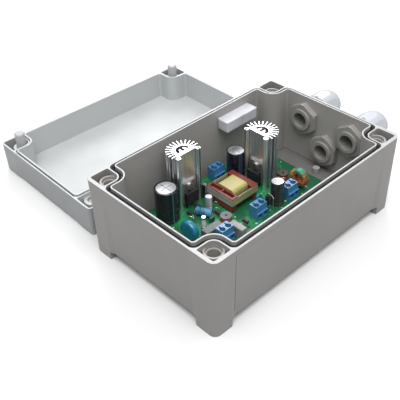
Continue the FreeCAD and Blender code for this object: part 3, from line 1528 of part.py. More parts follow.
def make_dot_capacitor():
    """A small coated disc capacitor on two leads."""
    disc = cylinder("dot_disc", "dot_radius", "dot_thickness", "dot_x", "dot_y - dot_thickness / 2",
                    "board_top + dot_lift + dot_radius", ALONG_Y)
    keep(disc, "disc_capacitor")
    return [cylinder(f"dot_lead_{name}", "thin_lead", "dot_lift + dot_radius * 0.2 - thin_lead",
                     f"dot_x + ({sign}) * dot_radius * 0.6", "dot_y", "board_top")
            for name, sign in (("one", -1), ("two", 1))]


def make_lying_leads():
    """The two leads of the lying capacitor, bent down to the board."""
    leads = []
    height = "board_top + lying_lift"
    cosine, sine = "cos(lying_turn * 1 deg)", "sin(lying_turn * 1 deg)"
    for name, sign in (("one", -1), ("two", 1)):
        aside = f"({sign}) * lying_lead_gap / 2"
        x, y = f"lying_capacitor_x + {aside} * {cosine}", f"lying_capacitor_y + {aside} * {sine}"
        foot = (f"{x} - lying_lead_reach * {sine}", f"{y} + lying_lead_reach * {cosine}")
        points = ((x, y, height), (*foot, height), (*foot, "board_top"))
        leads.append(lead_path(f"lying_lead_{name}", points, "thin_lead"))
    return leads


def make_cement_resistor():
    """A white ceramic block that is glued to the inside of the back wall."""
    body = rounded_box("CementResistor", "resistor_length", "resistor_depth", "resistor_height",
                       "resistor_round",
                       is_upright)
    place(body, "resistor_x", "half_width - cavity_inset - resistor_glue - resistor_depth / 2",
          "base_height - resistor_drop")
    return keep(body, "cement_resistor")


def make_small_parts():
    leads = make_varistor()
    make_film_capacitors()
    make_fuse()
    make_chokes()
    make_toroid()
    leads += make_axial_parts()
    leads += make_dot_capacitor()
    leads += make_lying_leads()
    group("component_leads", leads)
    make_cement_resistor()


def check_model():
    """Stops before anything is written if an object failed or a piece is empty or invalid."""
    for item in document.Objects:
        if {"Invalid", "Error"} & set(item.State):
            raise RuntimeError(f"{item.Name} ({item.Label}) failed")
    for item in sub_parts:
        if item.Shape.isNull() or not item.Shape.isValid() or not item.Shape.Solids:
            raise RuntimeError(f"{item.Label} has no valid solid")
    if len(sub_parts) > 60:
        raise RuntimeError(f"{len(sub_parts)} pieces are too many")


def main():
    fill_sheet()
    make_base()
    make_gasket()
    make_lid()
    make_lid_screws()
    make_label()
    make_glands()
    make_board()
    make_board_screws()
    make_heatsinks()
    make_capacitors()
    make_transformer()
    make_terminals()
    make_small_parts()
    document.recompute()
    document.removeObject(probe.Name)
    check_model()
    os.makedirs("parts", exist_ok=True)
    for item in sub_parts:
        item.Shape.exportStep(f"parts/{item.Label}.step")
        print(item.Label, len(item.Shape.Solids), round(item.Shape.Volume, 1))


main()
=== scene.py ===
import math

import bmesh
import bpy
from mathutils import Matrix, Vector


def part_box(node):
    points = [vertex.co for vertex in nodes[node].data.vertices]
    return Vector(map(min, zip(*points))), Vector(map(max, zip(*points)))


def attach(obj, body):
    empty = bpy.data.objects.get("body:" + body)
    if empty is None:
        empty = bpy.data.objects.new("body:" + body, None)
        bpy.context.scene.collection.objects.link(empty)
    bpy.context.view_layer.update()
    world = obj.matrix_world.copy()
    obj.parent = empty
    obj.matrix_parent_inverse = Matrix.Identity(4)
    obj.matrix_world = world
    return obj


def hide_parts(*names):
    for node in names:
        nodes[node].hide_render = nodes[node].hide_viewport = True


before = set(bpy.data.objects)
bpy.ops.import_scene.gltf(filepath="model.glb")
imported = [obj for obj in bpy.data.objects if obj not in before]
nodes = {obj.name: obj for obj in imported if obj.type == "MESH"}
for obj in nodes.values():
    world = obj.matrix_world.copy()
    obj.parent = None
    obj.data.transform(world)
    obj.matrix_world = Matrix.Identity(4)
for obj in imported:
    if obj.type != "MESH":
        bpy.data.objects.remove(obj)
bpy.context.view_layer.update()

MM = 0.001

# The camera as fitted to the photograph: its place in metres, its angles, and its lens in millimetres.
CAMERA_AT = Vector((-0.2673, -0.2450, 0.3092))
CAMERA_AZIMUTH = math.radians(-42.779)
CAMERA_ELEVATION = math.radians(38.259)
CAMERA_ROLL = math.radians(1.999)
CAMERA_LENS = 62.89
CAMERA_SHIFT = (-0.0034, -0.0010)

# The point that the lights face, and the radius beyond which the floor would look grey in low views.
LIGHT_TARGET = (0, 0.03, 0)
FLOOR_RADIUS = 1.0

# Nearly all values of a noise texture lie between these two.
NOISE_LOW, NOISE_HIGH = 0.3, 0.7


# Shader helpers


class Shader:
    """Builds one material as a small graph round a Principled shader."""

    def __init__(self, name):
        self.material = bpy.data.materials.new(name)
        self.material.use_nodes = True
        self.tree = self.material.node_tree
        self.shader = self.tree.nodes["Principled BSDF"]
        self.position = self.node("ShaderNodeTexCoord").outputs["Object"]

    def node(self, kind, constants=None, **settings):
        """Adds a node, with constants on its sockets and settings for its properties."""
        made = self.tree.nodes.new(kind)
        for name, setting in settings.items():
            setattr(made, name, setting)
        for name, value in (constants or {}).items():
            made.inputs[name].default_value = value
        return made

    def link(self, source, target):
        self.tree.links.new(source, target)

    def set(self, **values):
        """Sets constants on the shader's own sockets; an underscore stands for a space."""
        for name, value in values.items():
            self.shader.inputs[name.replace("_", " ")].default_value = value

    def mapped(self, scale, turn=0.0, shift=(0, 0, 0)):
        """The object's own coordinates, stretched, turned about the upright axis and moved."""
        mapping = self.node(
            "ShaderNodeMapping", {"Scale": scale, "Rotation": (0, 0, turn), "Location": shift}
        )
        self.link(self.position, mapping.inputs["Vector"])
        return mapping.outputs["Vector"]

    def noise(self, scale, detail, stretch=(1, 1, 1), roughness=0.5):
        """Noise with that many features to a metre."""
        texture = self.node("ShaderNodeTexNoise", {"Scale": scale, "Detail": detail, "Roughness": roughness})
        self.link(self.mapped(stretch), texture.inputs["Vector"])
        return texture.outputs["Fac"]

    def ramp(self, source, stops):
        """A colour ramp through (place, colour) stops."""
        made = self.node("ShaderNodeValToRGB")
        elements = made.color_ramp.elements
        while len(elements) < len(stops):
            elements.new(0.5)
        for element, (where, colour) in zip(elements, stops):
            element.position = where
            element.color = (*colour, 1.0)
        self.link(source, made.inputs["Fac"])
        return made.outputs["Color"]

    def varied(self, noise, first, second):
        """From one colour to another with a noise."""
        return self.ramp(noise, ((NOISE_LOW, first), (NOISE_HIGH, second)))

    def span(self, source, low, high, out_low, out_high):
        """Maps a range of values to another."""
        ends = {"From Min": low, "From Max": high, "To Min": out_low, "To Max": out_high}
        made = self.node("ShaderNodeMapRange", ends)
        self.link(source, made.inputs["Value"])
        return made.outputs["Result"]

    def maths(self, operation, *values):
        """A maths node on up to three values, each a socket or a number."""
        made = self.node("ShaderNodeMath", operation=operation)
        for socket, value in zip(made.inputs, values):
            if isinstance(value, (int, float)):
                socket.default_value = value
            else:
                self.link(value, socket)
        return made.outputs["Value"]

    def both(self, first, second):
        """The product of two masks, or of a mask and a value."""
        return self.maths("MULTIPLY", first, second)

    def apart(self, value, middle):
        """How far a value is from a middle."""
        return self.maths("ABSOLUTE", self.maths("SUBTRACT", value, middle))

    def split(self, vector=None):
        """The x, y and z of a vector, which is the place on the object if none is given."""
        made = self.node("ShaderNodeSeparateXYZ")
        self.link(vector or self.position, made.inputs["Vector"])
        return made.outputs["X"], made.outputs["Y"], made.outputs["Z"]

    def mix(self, factor, first, second):
        """Mixes two colours; each is a socket or an RGB triple."""
        made = self.node("ShaderNodeMix", data_type="RGBA")
        self.link(factor, made.inputs["Factor"])
        for name, value in (("A", first), ("B", second)):
            socket = next(item for item in made.inputs if item.name == name and item.type == "RGBA")
            if isinstance(value, tuple):
                socket.default_value = (*value, 1.0)
            else:
                self.link(value, socket)
        return next(item for item in made.outputs if item.type == "RGBA")

    def colour(self, socket):
        self.link(socket, self.shader.inputs["Base Color"])

    def roughness(self, noise, first, second):
        """Roughness from one value to another with a noise."""
        self.link(self.span(noise, NOISE_LOW, NOISE_HIGH, first, second), self.shader.inputs["Roughness"])

    def finish(self, height, strength, distance, bevel=0.0):
        """Adds fine relief, over softened edges if a bevel radius is given, and gives the material."""
        made = self.node("ShaderNodeBump", {"Strength": strength, "Distance": distance})
        self.link(height, made.inputs["Height"])
        if bevel:
            edges = self.node("ShaderNodeBevel", {"Radius": bevel}, samples=4)
            self.link(edges.outputs["Normal"], made.inputs["Normal"])
        self.link(made.outputs["Normal"], self.shader.inputs["Normal"])
        return self.material


def shade(colour, factor):
    """A colour made darker or paler."""
    return tuple(channel * factor for channel in colour)


# Camera, light and floor


def add_camera():
    """The camera at the photograph's viewing angle."""
    back = Vector((
        math.sin(CAMERA_AZIMUTH) * math.cos(CAMERA_ELEVATION),
        -math.cos(CAMERA_AZIMUTH) * math.cos(CAMERA_ELEVATION),
        math.sin(CAMERA_ELEVATION),
    ))
    forward = -back
    level = forward.cross(Vector((0, 0, 1))).normalized()
    down = forward.cross(level)
    right = level * math.cos(CAMERA_ROLL) + down * math.sin(CAMERA_ROLL)
    up = level * math.sin(CAMERA_ROLL) - down * math.cos(CAMERA_ROLL)
    data = bpy.data.cameras.new("camera")
    data.sensor_fit = "HORIZONTAL"
    data.lens = CAMERA_LENS
    data.shift_x, data.shift_y = CAMERA_SHIFT
    data.clip_start = 0.01
    camera = bpy.data.objects.new("camera", data)
    turn = Matrix((right, up, back)).transposed().to_4x4()
    camera.matrix_world = Matrix.Translation(CAMERA_AT) @ turn
    bpy.context.scene.collection.objects.link(camera)
    bpy.context.scene.camera = camera


def add_floor():
    """A round floor, pale to the camera and greyer for the light that it throws back."""
    bpy.ops.mesh.primitive_circle_add(
        vertices=96, radius=FLOOR_RADIUS, fill_type="NGON", location=(0, 0, 0)
    )
    floor = bpy.context.object
    floor.name = "floor"
    made = Shader("floor_paper")
    seen = made.node("ShaderNodeLightPath").outputs["Is Camera Ray"]
    paper = made.varied(made.noise(3, 2), (0.74, 0.74, 0.74), (0.77, 0.77, 0.77))
    made.colour(made.mix(seen, (0.52, 0.52, 0.52), paper))
    made.set(Roughness=0.9)
    floor.data.materials.append(made.material)


def add_light(name, place, size, power):
    """A square soft light that faces the object."""
    data = bpy.data.lights.new(name, "AREA")
    data.shape = "SQUARE"
    data.size = size
    data.energy = power
    light = bpy.data.objects.new(name, data)
    light.location = place
    light.rotation_euler = (Vector(place) - Vector(LIGHT_TARGET)).to_track_quat("Z", "Y").to_euler()
    bpy.context.scene.collection.objects.link(light)


def add_dome():
    """A dome of light, dim towards the ground. The camera sees plain white in its place."""
    world = bpy.data.worlds.new("studio")
    world.use_nodes = True
    tree = world.node_tree
    direction = tree.nodes.new("ShaderNodeTexCoord")
    height = tree.nodes.new("ShaderNodeSeparateXYZ")
    ramp = tree.nodes.new("ShaderNodeValToRGB")
    ground, sky = ramp.color_ramp.elements
    ground.color = (0.20, 0.21, 0.22, 1)
    sky.color = (1, 1, 1, 1)
    sky.position = 0.85
    dome = tree.nodes["Background"]
    dome.inputs["Strength"].default_value = 0.95
    backdrop = tree.nodes.new("ShaderNodeBackground")
    backdrop.inputs["Color"].default_value = (1, 1, 1, 1)
    seen = tree.nodes.new("ShaderNodeLightPath")
    choice = tree.nodes.new("ShaderNodeMixShader")
    for source, target in (
        (direction.outputs["Generated"], height.inputs["Vector"]),
        (height.outputs["Z"], ramp.inputs["Fac"]),
        (ramp.outputs["Color"], dome.inputs["Color"]),
        (seen.outputs["Is Camera Ray"], choice.inputs[0]),
        (dome.outputs[0], choice.inputs[1]),
        (backdrop.outputs[0], choice.inputs[2]),
        (choice.outputs[0], tree.nodes["World Output"].inputs["Surface"]),
    ):
        tree.links.new(source, target)
    bpy.context.scene.world = world


def add_studio():
    """A pale floor under a bright dome, with soft light from above and a sheen from behind."""
    add_floor()
    add_light("key", (-0.35, -0.40, 1.5), size=1.1, power=20)
    add_light("sheen", (0.95, 1.10, 1.00), size=0.9, power=14)
    add_dome()
    bpy.context.scene.view_settings.view_transform = "Standard"


# Materials of general use


def moulded(name, colour, rough, variation=0.05, bevel=0.4 * MM):
    """Moulded plastic: slight mottling, fine grain and softened edges."""
    made = Shader(name)
    made.colour(made.varied(made.noise(35, 3), shade(colour, 1 - variation), shade(colour, 1 + variation)))
    made.roughness(made.noise(60, 3), rough - 0.06, rough + 0.06)
    return made.finish(made.noise(900, 4), 0.06, 0.3 * MM, bevel)


def metal(name, colour, rough):
    """Bare metal with a fine grain."""
    made = Shader(name)
    grain = made.noise(400, 5)
    made.colour(made.varied(grain, shade(colour, 0.86), shade(colour, 1.08)))
    made.roughness(grain, rough - 0.08, rough + 0.1)
    made.set(Metallic=1.0)
    return made.finish(grain, 0.08, 0.2 * MM, 0.15 * MM)


def cloudy(name, colour, rough, variation=0.15, relief=0.15, metallic=0.0, coat=0.0, grain=500):
    """An even material with soft clouds of colour and fine relief."""
    made = Shader(name)
    clouds = made.noise(140, 4)
    made.colour(made.varied(clouds, shade(colour, 1 - variation), shade(colour, 1 + variation)))
    made.roughness(clouds, rough - 0.06, rough + 0.06)
    made.set(Metallic=metallic, Coat_Weight=coat)
    return made.finish(made.noise(grain, 3), relief, 0.2 * MM, 0.25 * MM)


# Materials of the enclosure


def shell_material(
    name, node, rough, colour, rim_highlight, rim_height, wall, inner_light, floor_top, floor, turn=0.0
):
    """A moulded half of the enclosure: paler on top of its rim as a painted highlight, and with factors of
    painted light and shade inside.

    The inner factor is painted light that makes what lies further in than wall paler. The floor factor is
    for the flat at floor_top: painted light on the lid's floor, and darker on the box's floor.
    turn is the angle by which the half is turned on the ground.
    """
    made = Shader(name)
    low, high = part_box(node)
    middle = (low + high) / 2
    middle.z = 0
    turned_back = Matrix.Rotation(-turn, 3, "Z")
    x, y, z = made.split(made.mapped((1, 1, 1), -turn, turned_back @ -middle))
    half_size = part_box("base_box")[1]
    step = 0.5 * MM
    in_length = made.maths("LESS_THAN", made.maths("ABSOLUTE", x), half_size.x - wall)
    in_width = made.maths("LESS_THAN", made.maths("ABSOLUTE", y), half_size.y - wall)
    in_plan = made.both(in_length, in_width)
    inside = made.both(in_plan, made.maths("GREATER_THAN", z, floor_top - step))
    on_floor = made.both(in_plan, made.maths("COMPARE", z, floor_top, step))
    upward = made.split(made.node("ShaderNodeNewGeometry").outputs["True Normal"])[2]
    # A painted highlight: up-facing faces at the top of the rim get the paler rim colour.
    at_top = made.span(z, rim_height, rim_height + step, 0, 1)
    on_rim_highlight = made.both(made.span(upward, 0.3, 0.9, 0, 1), at_top)
    mottled = made.noise(35, 3)
    outer_shade, painted_inner_light, floor_shade = (
        made.varied(mottled, shade(colour, factor * (1 - spread)), shade(colour, factor * (1 + spread)))
        for factor, spread in ((1.0, 0.02), (inner_light, 0.02), (floor, 0.06))
    )
    # Painted light: the inside gets a paler copy of the colour. The floor at floor_top gets its own factor.
    plain = made.mix(on_floor, made.mix(inside, outer_shade, painted_inner_light), floor_shade)
    made.colour(made.mix(on_rim_highlight, plain, rim_highlight))
    made.roughness(made.noise(60, 3), rough - 0.05, rough + 0.05)
    return made.finish(made.noise(900, 4), 0.02, 0.3 * MM, 0.4 * MM)


def rubber_material():
    """Black rubber with a dull bloom."""
    made = Shader("black_rubber")
    bloom = made.noise(220, 4)
    made.colour(made.varied(bloom, (0.006, 0.006, 0.007), (0.014, 0.014, 0.015)))
    made.set(Roughness=0.75, Specular_IOR_Level=0.2)
    return made.finish(bloom, 0.2, 0.3 * MM)


def label_material():
    """A bare satin film with faint clouds."""
    made = Shader("label_film")
    clouds = made.noise(25, 2)
    made.colour(made.varied(clouds, (0.255, 0.247, 0.241), (0.275, 0.267, 0.260)))
    made.roughness(clouds, 0.26, 0.34)
    return made.finish(clouds, 0.05, 0.2 * MM)


# Materials of the board and its parts


def board_material():
    """Green solder mask over broad copper tracks, with thin lines and tinned pads."""
    made = Shader("solder_mask")
    cells = made.node("ShaderNodeTexVoronoi", {"Scale": 170}, distance="MANHATTAN", feature="F1")
    made.link(made.mapped((1, 1, 0.01)), cells.inputs["Vector"])
    pads = made.span(cells.outputs["Distance"], 0.16, 0.2, 1, 0)
    bricks = made.node("ShaderNodeTexBrick", {"Scale": 60, "Mortar Size": 0.02, "Mortar Smooth": 0.5})
    made.link(made.mapped((1, 1, 0)), bricks.inputs["Vector"])
    track, bare = (0.015, 0.22, 0.075), (0.008, 0.10, 0.04)
    line, tin = (0.008, 0.11, 0.045), (0.45, 0.47, 0.44)
    green = made.mix(made.span(made.noise(55, 2), 0.42, 0.5, 0, 1), track, bare)
    made.colour(made.mix(pads, made.mix(bricks.outputs["Fac"], green, line), tin))
    made.set(Roughness=0.4, Coat_Weight=0.12, Coat_Roughness=0.2)
    return made.finish(made.noise(300, 3), 0.15, 0.2 * MM, 0.2 * MM)


def extruded_material():
    """Extruded aluminium with lines along its length, and painted shade, near black, deep inside its
    channels.
    """
    made = Shader("extruded_aluminium")
    lines = made.noise(900, 5, (1, 1, 0.02))
    # Painted shade: places sheltered by nearby faces, found by ambient occlusion, are painted near black.
    painted_shade_occlusion = made.node("ShaderNodeAmbientOcclusion", {"Distance": 4 * MM}, samples=8)
    outside_painted_shade = made.span(painted_shade_occlusion.outputs["AO"], 0.07, 0.31, 0, 1)
    bright = made.varied(lines, (0.74, 0.75, 0.77), (0.90, 0.91, 0.93))
    made.colour(made.mix(outside_painted_shade, (0.03, 0.03, 0.032), bright))
    made.roughness(lines, 0.30, 0.46)
    made.set(Metallic=1.0)
    return made.finish(lines, 0.08, 0.2 * MM, 0.15 * MM)


def can_material(node):
    """Drawn aluminium with the crossed vent grooves of a capacitor's top."""
    made = Shader(node + "_metal")
    low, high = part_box(node)
    middle = (low + high) / 2
    half_width, reach, top_depth = 0.18 * MM, (high.x - low.x) * 0.33, 2 * MM
    x, y, z = made.split()
    across, along = made.apart(x, middle.x), made.apart(y, middle.y)
    narrow = made.maths("LESS_THAN", made.maths("MINIMUM", across, along), half_width)
    short = made.maths("LESS_THAN", made.maths("MAXIMUM", across, along), reach)
    groove = made.both(made.both(narrow, short), made.maths("GREATER_THAN", z, high.z - top_depth))
    grain = made.noise(260, 4)
    bare = made.varied(grain, (0.68, 0.69, 0.71), (0.86, 0.87, 0.90))
    made.colour(made.mix(groove, bare, (0.20, 0.21, 0.23)))
    made.roughness(grain, 0.34, 0.48)
    made.set(Metallic=1.0)
    height = made.maths("SUBTRACT", made.both(grain, 0.2), groove)
    return made.finish(height, 0.5, 0.3 * MM, 0.3 * MM)


def sleeve_material(node, colour, band, half_width):
    """A shrunk sleeve with a plain lighter band of that half width, in radians, down its front."""
    made = Shader(node + "_film")
    low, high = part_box(node)
    middle = (low + high) / 2
    front = math.radians(-100)
    x, y, _ = made.split()
    angle = made.maths("ARCTAN2", made.maths("SUBTRACT", y, middle.y), made.maths("SUBTRACT", x, middle.x))
    in_band = made.maths("COMPARE", angle, front, half_width)
    film = made.varied(made.noise(300, 3), shade(colour, 0.85), shade(colour, 1.2))
    made.colour(made.mix(in_band, film, band))
    made.roughness(made.noise(120, 3), 0.18, 0.32)
    made.set(Coat_Weight=0.3)
    return made.finish(made.noise(240, 3), 0.1, 0.2 * MM, 0.3 * MM)


def tape_material():
    """Core tape: yellow, with painted shade greying the faces across the core, and two pale lines."""
    made = Shader("core_tape")
    low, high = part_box("transformer_tape")
    line_height, line_half_width = (high.z - low.z) * 0.22, 0.4 * MM
    facing = made.split(made.node("ShaderNodeNewGeometry").outputs["Normal"])[0]
    across = made.maths("GREATER_THAN", made.maths("ABSOLUTE", facing), 0.6)
    from_middle = made.apart(made.split()[2], (low.z + high.z) / 2)
    on_line = made.maths("COMPARE", from_middle, line_height, line_half_width)
    paleness = made.both(on_line, made.span(across, 0, 1, 0.2, 0.8))
    creases = made.noise(90, 4, (1, 1, 3))
    yellow = made.varied(creases, (0.24, 0.23, 0.10), (0.42, 0.40, 0.20))
    # Painted shade: the faces across the core get a greyer copy of the yellow tape.
    grey = made.varied(creases, (0.22, 0.21, 0.19), (0.40, 0.38, 0.34))
    made.colour(made.mix(paleness, made.mix(across, yellow, grey), (0.50, 0.48, 0.43)))
    made.set(Roughness=0.3, Coat_Weight=0.3)
    return made.finish(creases, 0.35, 0.4 * MM, 0.4 * MM)


def choke_material():
    """Drum cores of two makes: the left one lavender grey, the right one dark brown."""
    made = Shader("choke_ferrite")
    clouds = made.noise(160, 4)
    grey = made.varied(clouds, (0.10, 0.095, 0.11), (0.15, 0.14, 0.165))
    brown = made.varied(clouds, (0.030, 0.020, 0.016), (0.055, 0.036, 0.026))
    made.colour(made.mix(made.maths("GREATER_THAN", made.split()[0], 0.0), grey, brown))
    made.set(Roughness=0.5)
    return made.finish(clouds, 0.2, 0.2 * MM, 0.3 * MM)


def terminal_material():
    """Glossy blue plastic."""
    made = Shader("terminal_blue")
    made.colour(made.varied(made.noise(60, 3), (0.045, 0.18, 0.37), (0.055, 0.21, 0.42)))
    made.set(Roughness=0.35, Coat_Weight=0.7, Coat_Roughness=0.3)
    return made.finish(made.noise(700, 3), 0.05, 0.3 * MM, 0.4 * MM)


def cement_material():
    """Chalky cement with soft corners and a few faint stains."""
    made = Shader("cement")
    stains = made.noise(70, 5, roughness=0.6)
    stained, plain, pale = (0.42, 0.40, 0.38), (0.55, 0.55, 0.60), (0.62, 0.62, 0.68)
    made.colour(made.ramp(stains, ((0.32, stained), (0.42, plain), (0.7, pale))))
    made.roughness(stains, 0.65, 0.5)
    return made.finish(made.noise(380, 5), 0.7, 0.4 * MM, 1.2 * MM)


# The CAD nodes and their materials


def paint(material, *names):
    """Gives a material to CAD nodes."""
    for name in names:
        mesh = nodes[name].data
        mesh.materials.clear()
        mesh.materials.append(material)


def smooth(mesh, degrees):
    """Smooth shading, broken at edges sharper than that angle."""
    for polygon in mesh.polygons:
        polygon.use_smooth = True
    mesh.set_sharp_from_angle(angle=math.radians(degrees))


def paint_enclosure():
    """The box, its lid, label, rubbers, screws and glands."""
    # The box gets a paler rim top as a painted highlight and paler inner walls as painted light. Its floor
    # is darker.
    box = shell_material(
        "enclosure_plastic", "base_box", 0.35, (0.275, 0.264, 0.254), (0.44, 0.45, 0.455), 56.8 * MM,
        wall=4 * MM, inner_light=1.25, floor_top=8.5 * MM, floor=0.6,
    )
    # The lid gets a paler rim top as a painted highlight, with paler inner walls and floor as painted light.
    lid = shell_material(
        "lid_plastic", "lid", 0.44, (0.335, 0.348, 0.352), (0.54, 0.55, 0.56), 21.6 * MM,
        wall=2.1 * MM, inner_light=1.45, floor_top=2.5 * MM, floor=1.38, turn=math.radians(-1.2),
    )
    paint(box, "base_box")
    paint(lid, "lid")
    paint(moulded("screw_plastic", (0.44, 0.45, 0.45), 0.4, variation=0.04), "lid_screws")
    paint(rubber_material(), "rim_gasket", "gland_seals", "gland_inserts")
    paint(label_material(), "rating_label")
    gland = moulded("gland_plastic", (0.29, 0.28, 0.265), 0.38, variation=0.03, bevel=0.6 * MM)
    # The caps get a paler copy of the gland plastic: painted light on the domes, which face up towards the
    # light.
    painted_light_cap = moulded("gland_cap_painted_light", (0.48, 0.50, 0.54), 0.34, variation=0.03, bevel=0.6 * MM)
    for number in (1, 2, 3):
        paint(gland, f"gland_{number}_body", f"gland_{number}_nut")
        paint(painted_light_cap, f"gland_{number}_cap")


def paint_board():
    """The board, its metal parts, the transistors and the capacitors."""
    paint(board_material(), "circuit_board")
    steel = metal("screw_steel", (0.55, 0.55, 0.56), 0.3)
    paint(steel, "board_screws", "transistor_screws", "terminal_clamps")
    paint(metal("zinc_screws", (0.16, 0.20, 0.26), 0.4), "terminal_screws")
    paint(extruded_material(), "heatsink_left", "heatsink_right")
    paint(cloudy("case_epoxy", (0.02, 0.02, 0.022), 0.45), "transistor_left_case", "transistor_right_case")
    tinned = metal("tinned_copper", (0.62, 0.61, 0.58), 0.32)
    paint(tinned, "transistor_left_tab", "transistor_right_tab", "transistor_leads")
    paint(tinned, "component_leads", "transformer_pins")
    paint(cloudy("pad_film", (0.42, 0.42, 0.40), 0.5), "insulating_pads")
    for name, colour, band, half_width in (
        # The large capacitor's narrow teal band is a painted highlight down its side.
        ("large_capacitor", (0.009, 0.013, 0.017), (0.06, 0.13, 0.17), 0.05),
        ("output_capacitor", (0.010, 0.008, 0.018), (0.04, 0.05, 0.09), 0.3),
        ("filter_capacitor", (0.026, 0.027, 0.027), (0.05, 0.052, 0.054), 0.35),
        ("timing_capacitor", (0.010, 0.010, 0.012), (0.20, 0.20, 0.22), 0.42),
        ("start_capacitor", (0.30, 0.32, 0.33), (0.50, 0.51, 0.53), 0.42),
        ("lying_capacitor", (0.03, 0.14, 0.26), (0.08, 0.26, 0.40), 0.42),
    ):
        can, sleeve = name + "_can", name + "_sleeve"
        paint(can_material(can), can)
        paint(sleeve_material(sleeve, colour, band, half_width), sleeve)


def paint_parts():
    """The transformer, the chokes and the small parts."""
    paint(cloudy("ferrite", (0.045, 0.045, 0.05), 0.55), "transformer_core")
    paint(tape_material(), "transformer_tape")
    paint(moulded("bobbin_red", (0.17, 0.026, 0.018), 0.4), "transformer_bobbin")
    winding = cloudy(
        "winding_tape", (0.40, 0.355, 0.125), 0.4, variation=0.12, relief=0.3, coat=0.08, grain=160
    )
    paint(winding, "transformer_winding")
    paint(choke_material(), "choke_cores")
    paint(cloudy("core_green", (0.05, 0.26, 0.16), 0.35), "toroid_core")
    paint(terminal_material(), "terminal_housings")
    paint(cloudy("varistor_coat", (0.010, 0.17, 0.27), 0.28, coat=0.3), "varistor")
    paint(cloudy("film_case_grey", (0.105, 0.11, 0.115), 0.4), "long_film_capacitor")
    pale_case = cloudy("film_case_pale", (0.24, 0.25, 0.24), 0.4, variation=0.3, relief=0.5, grain=240)
    paint(pale_case, "short_film_capacitor")
    paint(cloudy("diode_black", (0.02, 0.02, 0.02), 0.3), "axial_bodies")
    paint(cloudy("disc_teal", (0.02, 0.22, 0.25), 0.3), "disc_capacitor")
    paint(cement_material(), "cement_resistor")


# Pieces made here, in place of plainer CAD nodes or beside them


def new_piece(name, points, faces, material, slot, node=None):
    """Shows a mesh of these points and faces, instead of one CAD node if that is named."""
    mesh = bpy.data.meshes.new(name)
    mesh.from_pydata(points, [], faces)
    bm = bmesh.new()
    bm.from_mesh(mesh)
    bmesh.ops.recalc_face_normals(bm, faces=bm.faces)
    bm.to_mesh(mesh)
    bm.free()
    smooth(mesh, 40)
    mesh.materials.append(material)
    piece = bpy.data.objects.new(name, mesh)
    bpy.context.scene.collection.objects.link(piece)
    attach(piece, "root")
    if node:
        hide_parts(node)


def circle(count):
    """The cosine and sine of each of count even steps round a circle."""
    return [(math.cos(2 * math.pi * k / count), math.sin(2 * math.pi * k / count)) for k in range(count)]


def ring_faces(start, count, rings, closed=False):
    """Quads between rings of count points that follow one another, with both ends filled unless closed."""
    faces = []
    for i in range(rings if closed else rings - 1):
        here = start + i * count
        after = start + (i + 1) % rings * count
        for k in range(count):
            turn = (k + 1) % count
            faces.append((here + k, here + turn, after + turn, after + k))
    if not closed:
        last = start + (rings - 1) * count
        faces += [tuple(range(start, start + count)), tuple(range(last, last + count))]
    return faces


def lathe(parts, steps=28):
    """Solids of revolution on upright axes: each part is a centre and an outline of (radius, height)."""
    points, faces = [], []
    for centre, outline in parts:
        faces += ring_faces(len(points), steps, len(outline))
        for radius, height in outline:
            points += [(centre.x + radius * c, centre.y + radius * s, height) for c, s in circle(steps)]
    return points, faces


def make_fuse():
    """The upright fuse: a slim frosted tube between two bright end caps."""
    low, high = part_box("fuse_caps")
    centre = (low + high) / 2
    tube_radius, cap_radius, cap_height, edge = 1.5 * MM, 1.65 * MM, 2.0 * MM, 0.2 * MM
    tube = ((tube_radius, low.z + cap_height), (tube_radius, high.z - cap_height))
    frost = cloudy("fuse_glass", (0.80, 0.80, 0.85), 0.18, variation=0.2, coat=0.5)
    new_piece("fuse_body", *lathe([(centre, tube)]), frost, "fuse_glass", "fuse_tube")
    caps = []
    for bottom in (low.z, high.z - cap_height):
        top = bottom + cap_height
        caps.append((centre, (
            (cap_radius - edge, bottom), (cap_radius, bottom + edge),
            (cap_radius, top - edge), (cap_radius - edge, top),
        )))
    new_piece("fuse_ends", *lathe(caps), metal("cap_metal", (0.80, 0.80, 0.82), 0.25), "steel", "fuse_caps")


def make_toroid_winding(enamel):
    """Turns of enamelled wire laid side by side round the ring, all but over its top."""
    low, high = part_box("toroid_core")
    centre = (low + high) / 2
    outer, hole, wire = (high.z - low.z) / 2, 3.2 * MM, 0.36 * MM
    middle, half_wide, half_deep = (outer + hole) / 2, (high.x - low.x) / 2 + wire, (outer - hole) / 2 + wire
    turns, bends, sides = 21, 20, 8
    first, sweep, waver = 128, 284, 3  # degrees
    lean, squareness = 0.10, 0.6
    points, faces = [], []
    for turn in range(turns):
        angle = math.radians(first + sweep * turn / (turns - 1) + waver * math.sin(turn * 2.4))
        along = Vector((0, math.cos(angle), math.sin(angle)))
        normal = Vector((lean * math.sin(turn * 1.7), -math.sin(angle), math.cos(angle))).normalized()
        faces += ring_faces(len(points), sides, bends, closed=True)
        for c, s in circle(bends):
            side = math.copysign(abs(c) ** squareness, c) * half_wide
            rise = math.copysign(abs(s) ** squareness, s) * half_deep
            here = centre + Vector((side, 0, 0)) + along * (middle + rise)
            out = (Vector((c, 0, 0)) + along * s).normalized()
            points += [here + wire * (out * cosine + normal * sine) for cosine, sine in circle(sides)]
    new_piece("toroid_turns", points, faces, enamel, "copper_wire", "toroid_winding")


def make_choke_windings(enamel):
    """Ridged coils of enamelled wire that fill the waists of the two drum chokes."""
    low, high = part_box("choke_windings")
    cad_radius, pitch, ridge, fall = 3.3 * MM, 0.5 * MM, 0.09 * MM, 0.35 * MM
    left = Vector((low.x + cad_radius, low.y + cad_radius, 0))
    right = Vector((high.x - cad_radius, high.y - cad_radius, 0))
    coils = []
    for centre, radius, top in ((left, 3.75 * MM, high.z), (right, 4.0 * MM, high.z - 1.7 * MM)):
        steps = round((top - low.z) / pitch) * 4
        outline = []
        for step in range(steps + 1):
            share = step / steps
            bulge = ridge * math.cos(math.pi * step / 2) - fall * (2 * share - 1) ** 4
            outline.append((radius + bulge, low.z + share * (top - low.z)))
        coils.append((centre, outline))
    new_piece("choke_turns", *lathe(coils, 40), enamel, "copper_wire", "choke_windings")


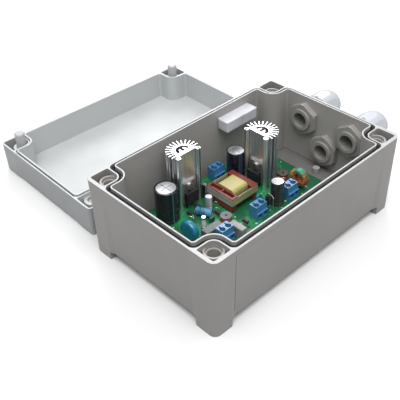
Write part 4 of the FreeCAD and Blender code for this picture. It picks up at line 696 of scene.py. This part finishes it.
def make_jumper_wires():
    """Bare wires that arch over the board and lean a little to one side."""
    # Each wire's two feet and its rise, in millimetres.
    arches = (
        ((-13.4, 16.9), (-12.3, 13.6), 6.4),
        ((-15.6, 14.3), (-12.9, 11.6), 3.2),
        ((-30.9, 17.6), (-33.8, 14.6), 4.6),
        ((-33.6, 21.6), (-31.8, 16.9), 3.4),
        ((-19.0, 4.6), (-15.6, 3.0), 2.6),
    )
    board_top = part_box("circuit_board")[1].z
    wire, sunk, sides, bends = 0.28 * MM, 0.3 * MM, 8, 18
    furthest_lean, squareness = 0.5, 0.6
    points, faces = [], []
    for (x0, y0), (x1, y1), rise in arches:
        path = []
        for bend in range(bends + 1):
            angle = math.pi * bend / bends
            share = (1 - math.cos(angle)) / 2
            lean = furthest_lean * math.sin(angle) ** 2
            path.append(Vector((
                (x0 + (x1 - x0) * share - lean) * MM,
                (y0 + (y1 - y0) * share + lean) * MM,
                board_top - sunk + rise * math.sin(angle) ** squareness * MM,
            )))
        faces += ring_faces(len(points), sides, len(path))
        across = Vector((y1 - y0, x0 - x1, 0)).normalized()
        for i, here in enumerate(path):
            along = (path[min(i + 1, bends)] - path[max(i - 1, 0)]).normalized()
            side = (across - along * across.dot(along)).normalized()
            up = side.cross(along)
            points += [here + wire * (side * cosine + up * sine) for cosine, sine in circle(sides)]
    new_piece("jumper_wires", points, faces, metal("jumper_wire", (0.70, 0.69, 0.64), 0.3), "tinned_copper")


def make_dipped_capacitor():
    """A small rounded capacitor that stands on the board beside the lying one."""
    board_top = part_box("circuit_board")[1].z
    half_length, half_width, half_height, sunk = 2.5 * MM, 1.15 * MM, 2.0 * MM, 0.05 * MM
    turn, bends, tip = math.radians(-8), 16, 0.04
    outline = []
    for bend in range(bends + 1):
        angle = math.pi * (bend / bends - 0.5)
        radius = max(math.cos(angle) ** 0.6, tip)
        outline.append((radius, math.copysign(abs(math.sin(angle)) ** 0.7, angle)))
    points, faces = lathe([(Vector(), outline)], 32)
    place = Matrix.Translation((-24.4 * MM, 8.0 * MM, board_top + half_height - sunk))
    size = Matrix.Diagonal((half_length, half_width, half_height, 1.0))
    shape = place @ Matrix.Rotation(turn, 4, "Z") @ size
    dipped = cloudy("dipped_green", (0.012, 0.07, 0.045), 0.3, coat=0.4)
    new_piece("dipped_capacitor", [shape @ Vector(point) for point in points], faces, dipped, "disc_teal")


add_camera()
add_studio()
for cad_node in nodes.values():
    smooth(cad_node.data, 30)
paint_enclosure()
paint_board()
paint_parts()
make_fuse()
enamelled = cloudy("enamel_wire", (0.50, 0.15, 0.042), 0.24, metallic=0.6, coat=0.4)
make_toroid_winding(enamelled)
make_choke_windings(enamelled)
make_jumper_wires()
make_dipped_capacitor()

bpy.context.view_layer.update()
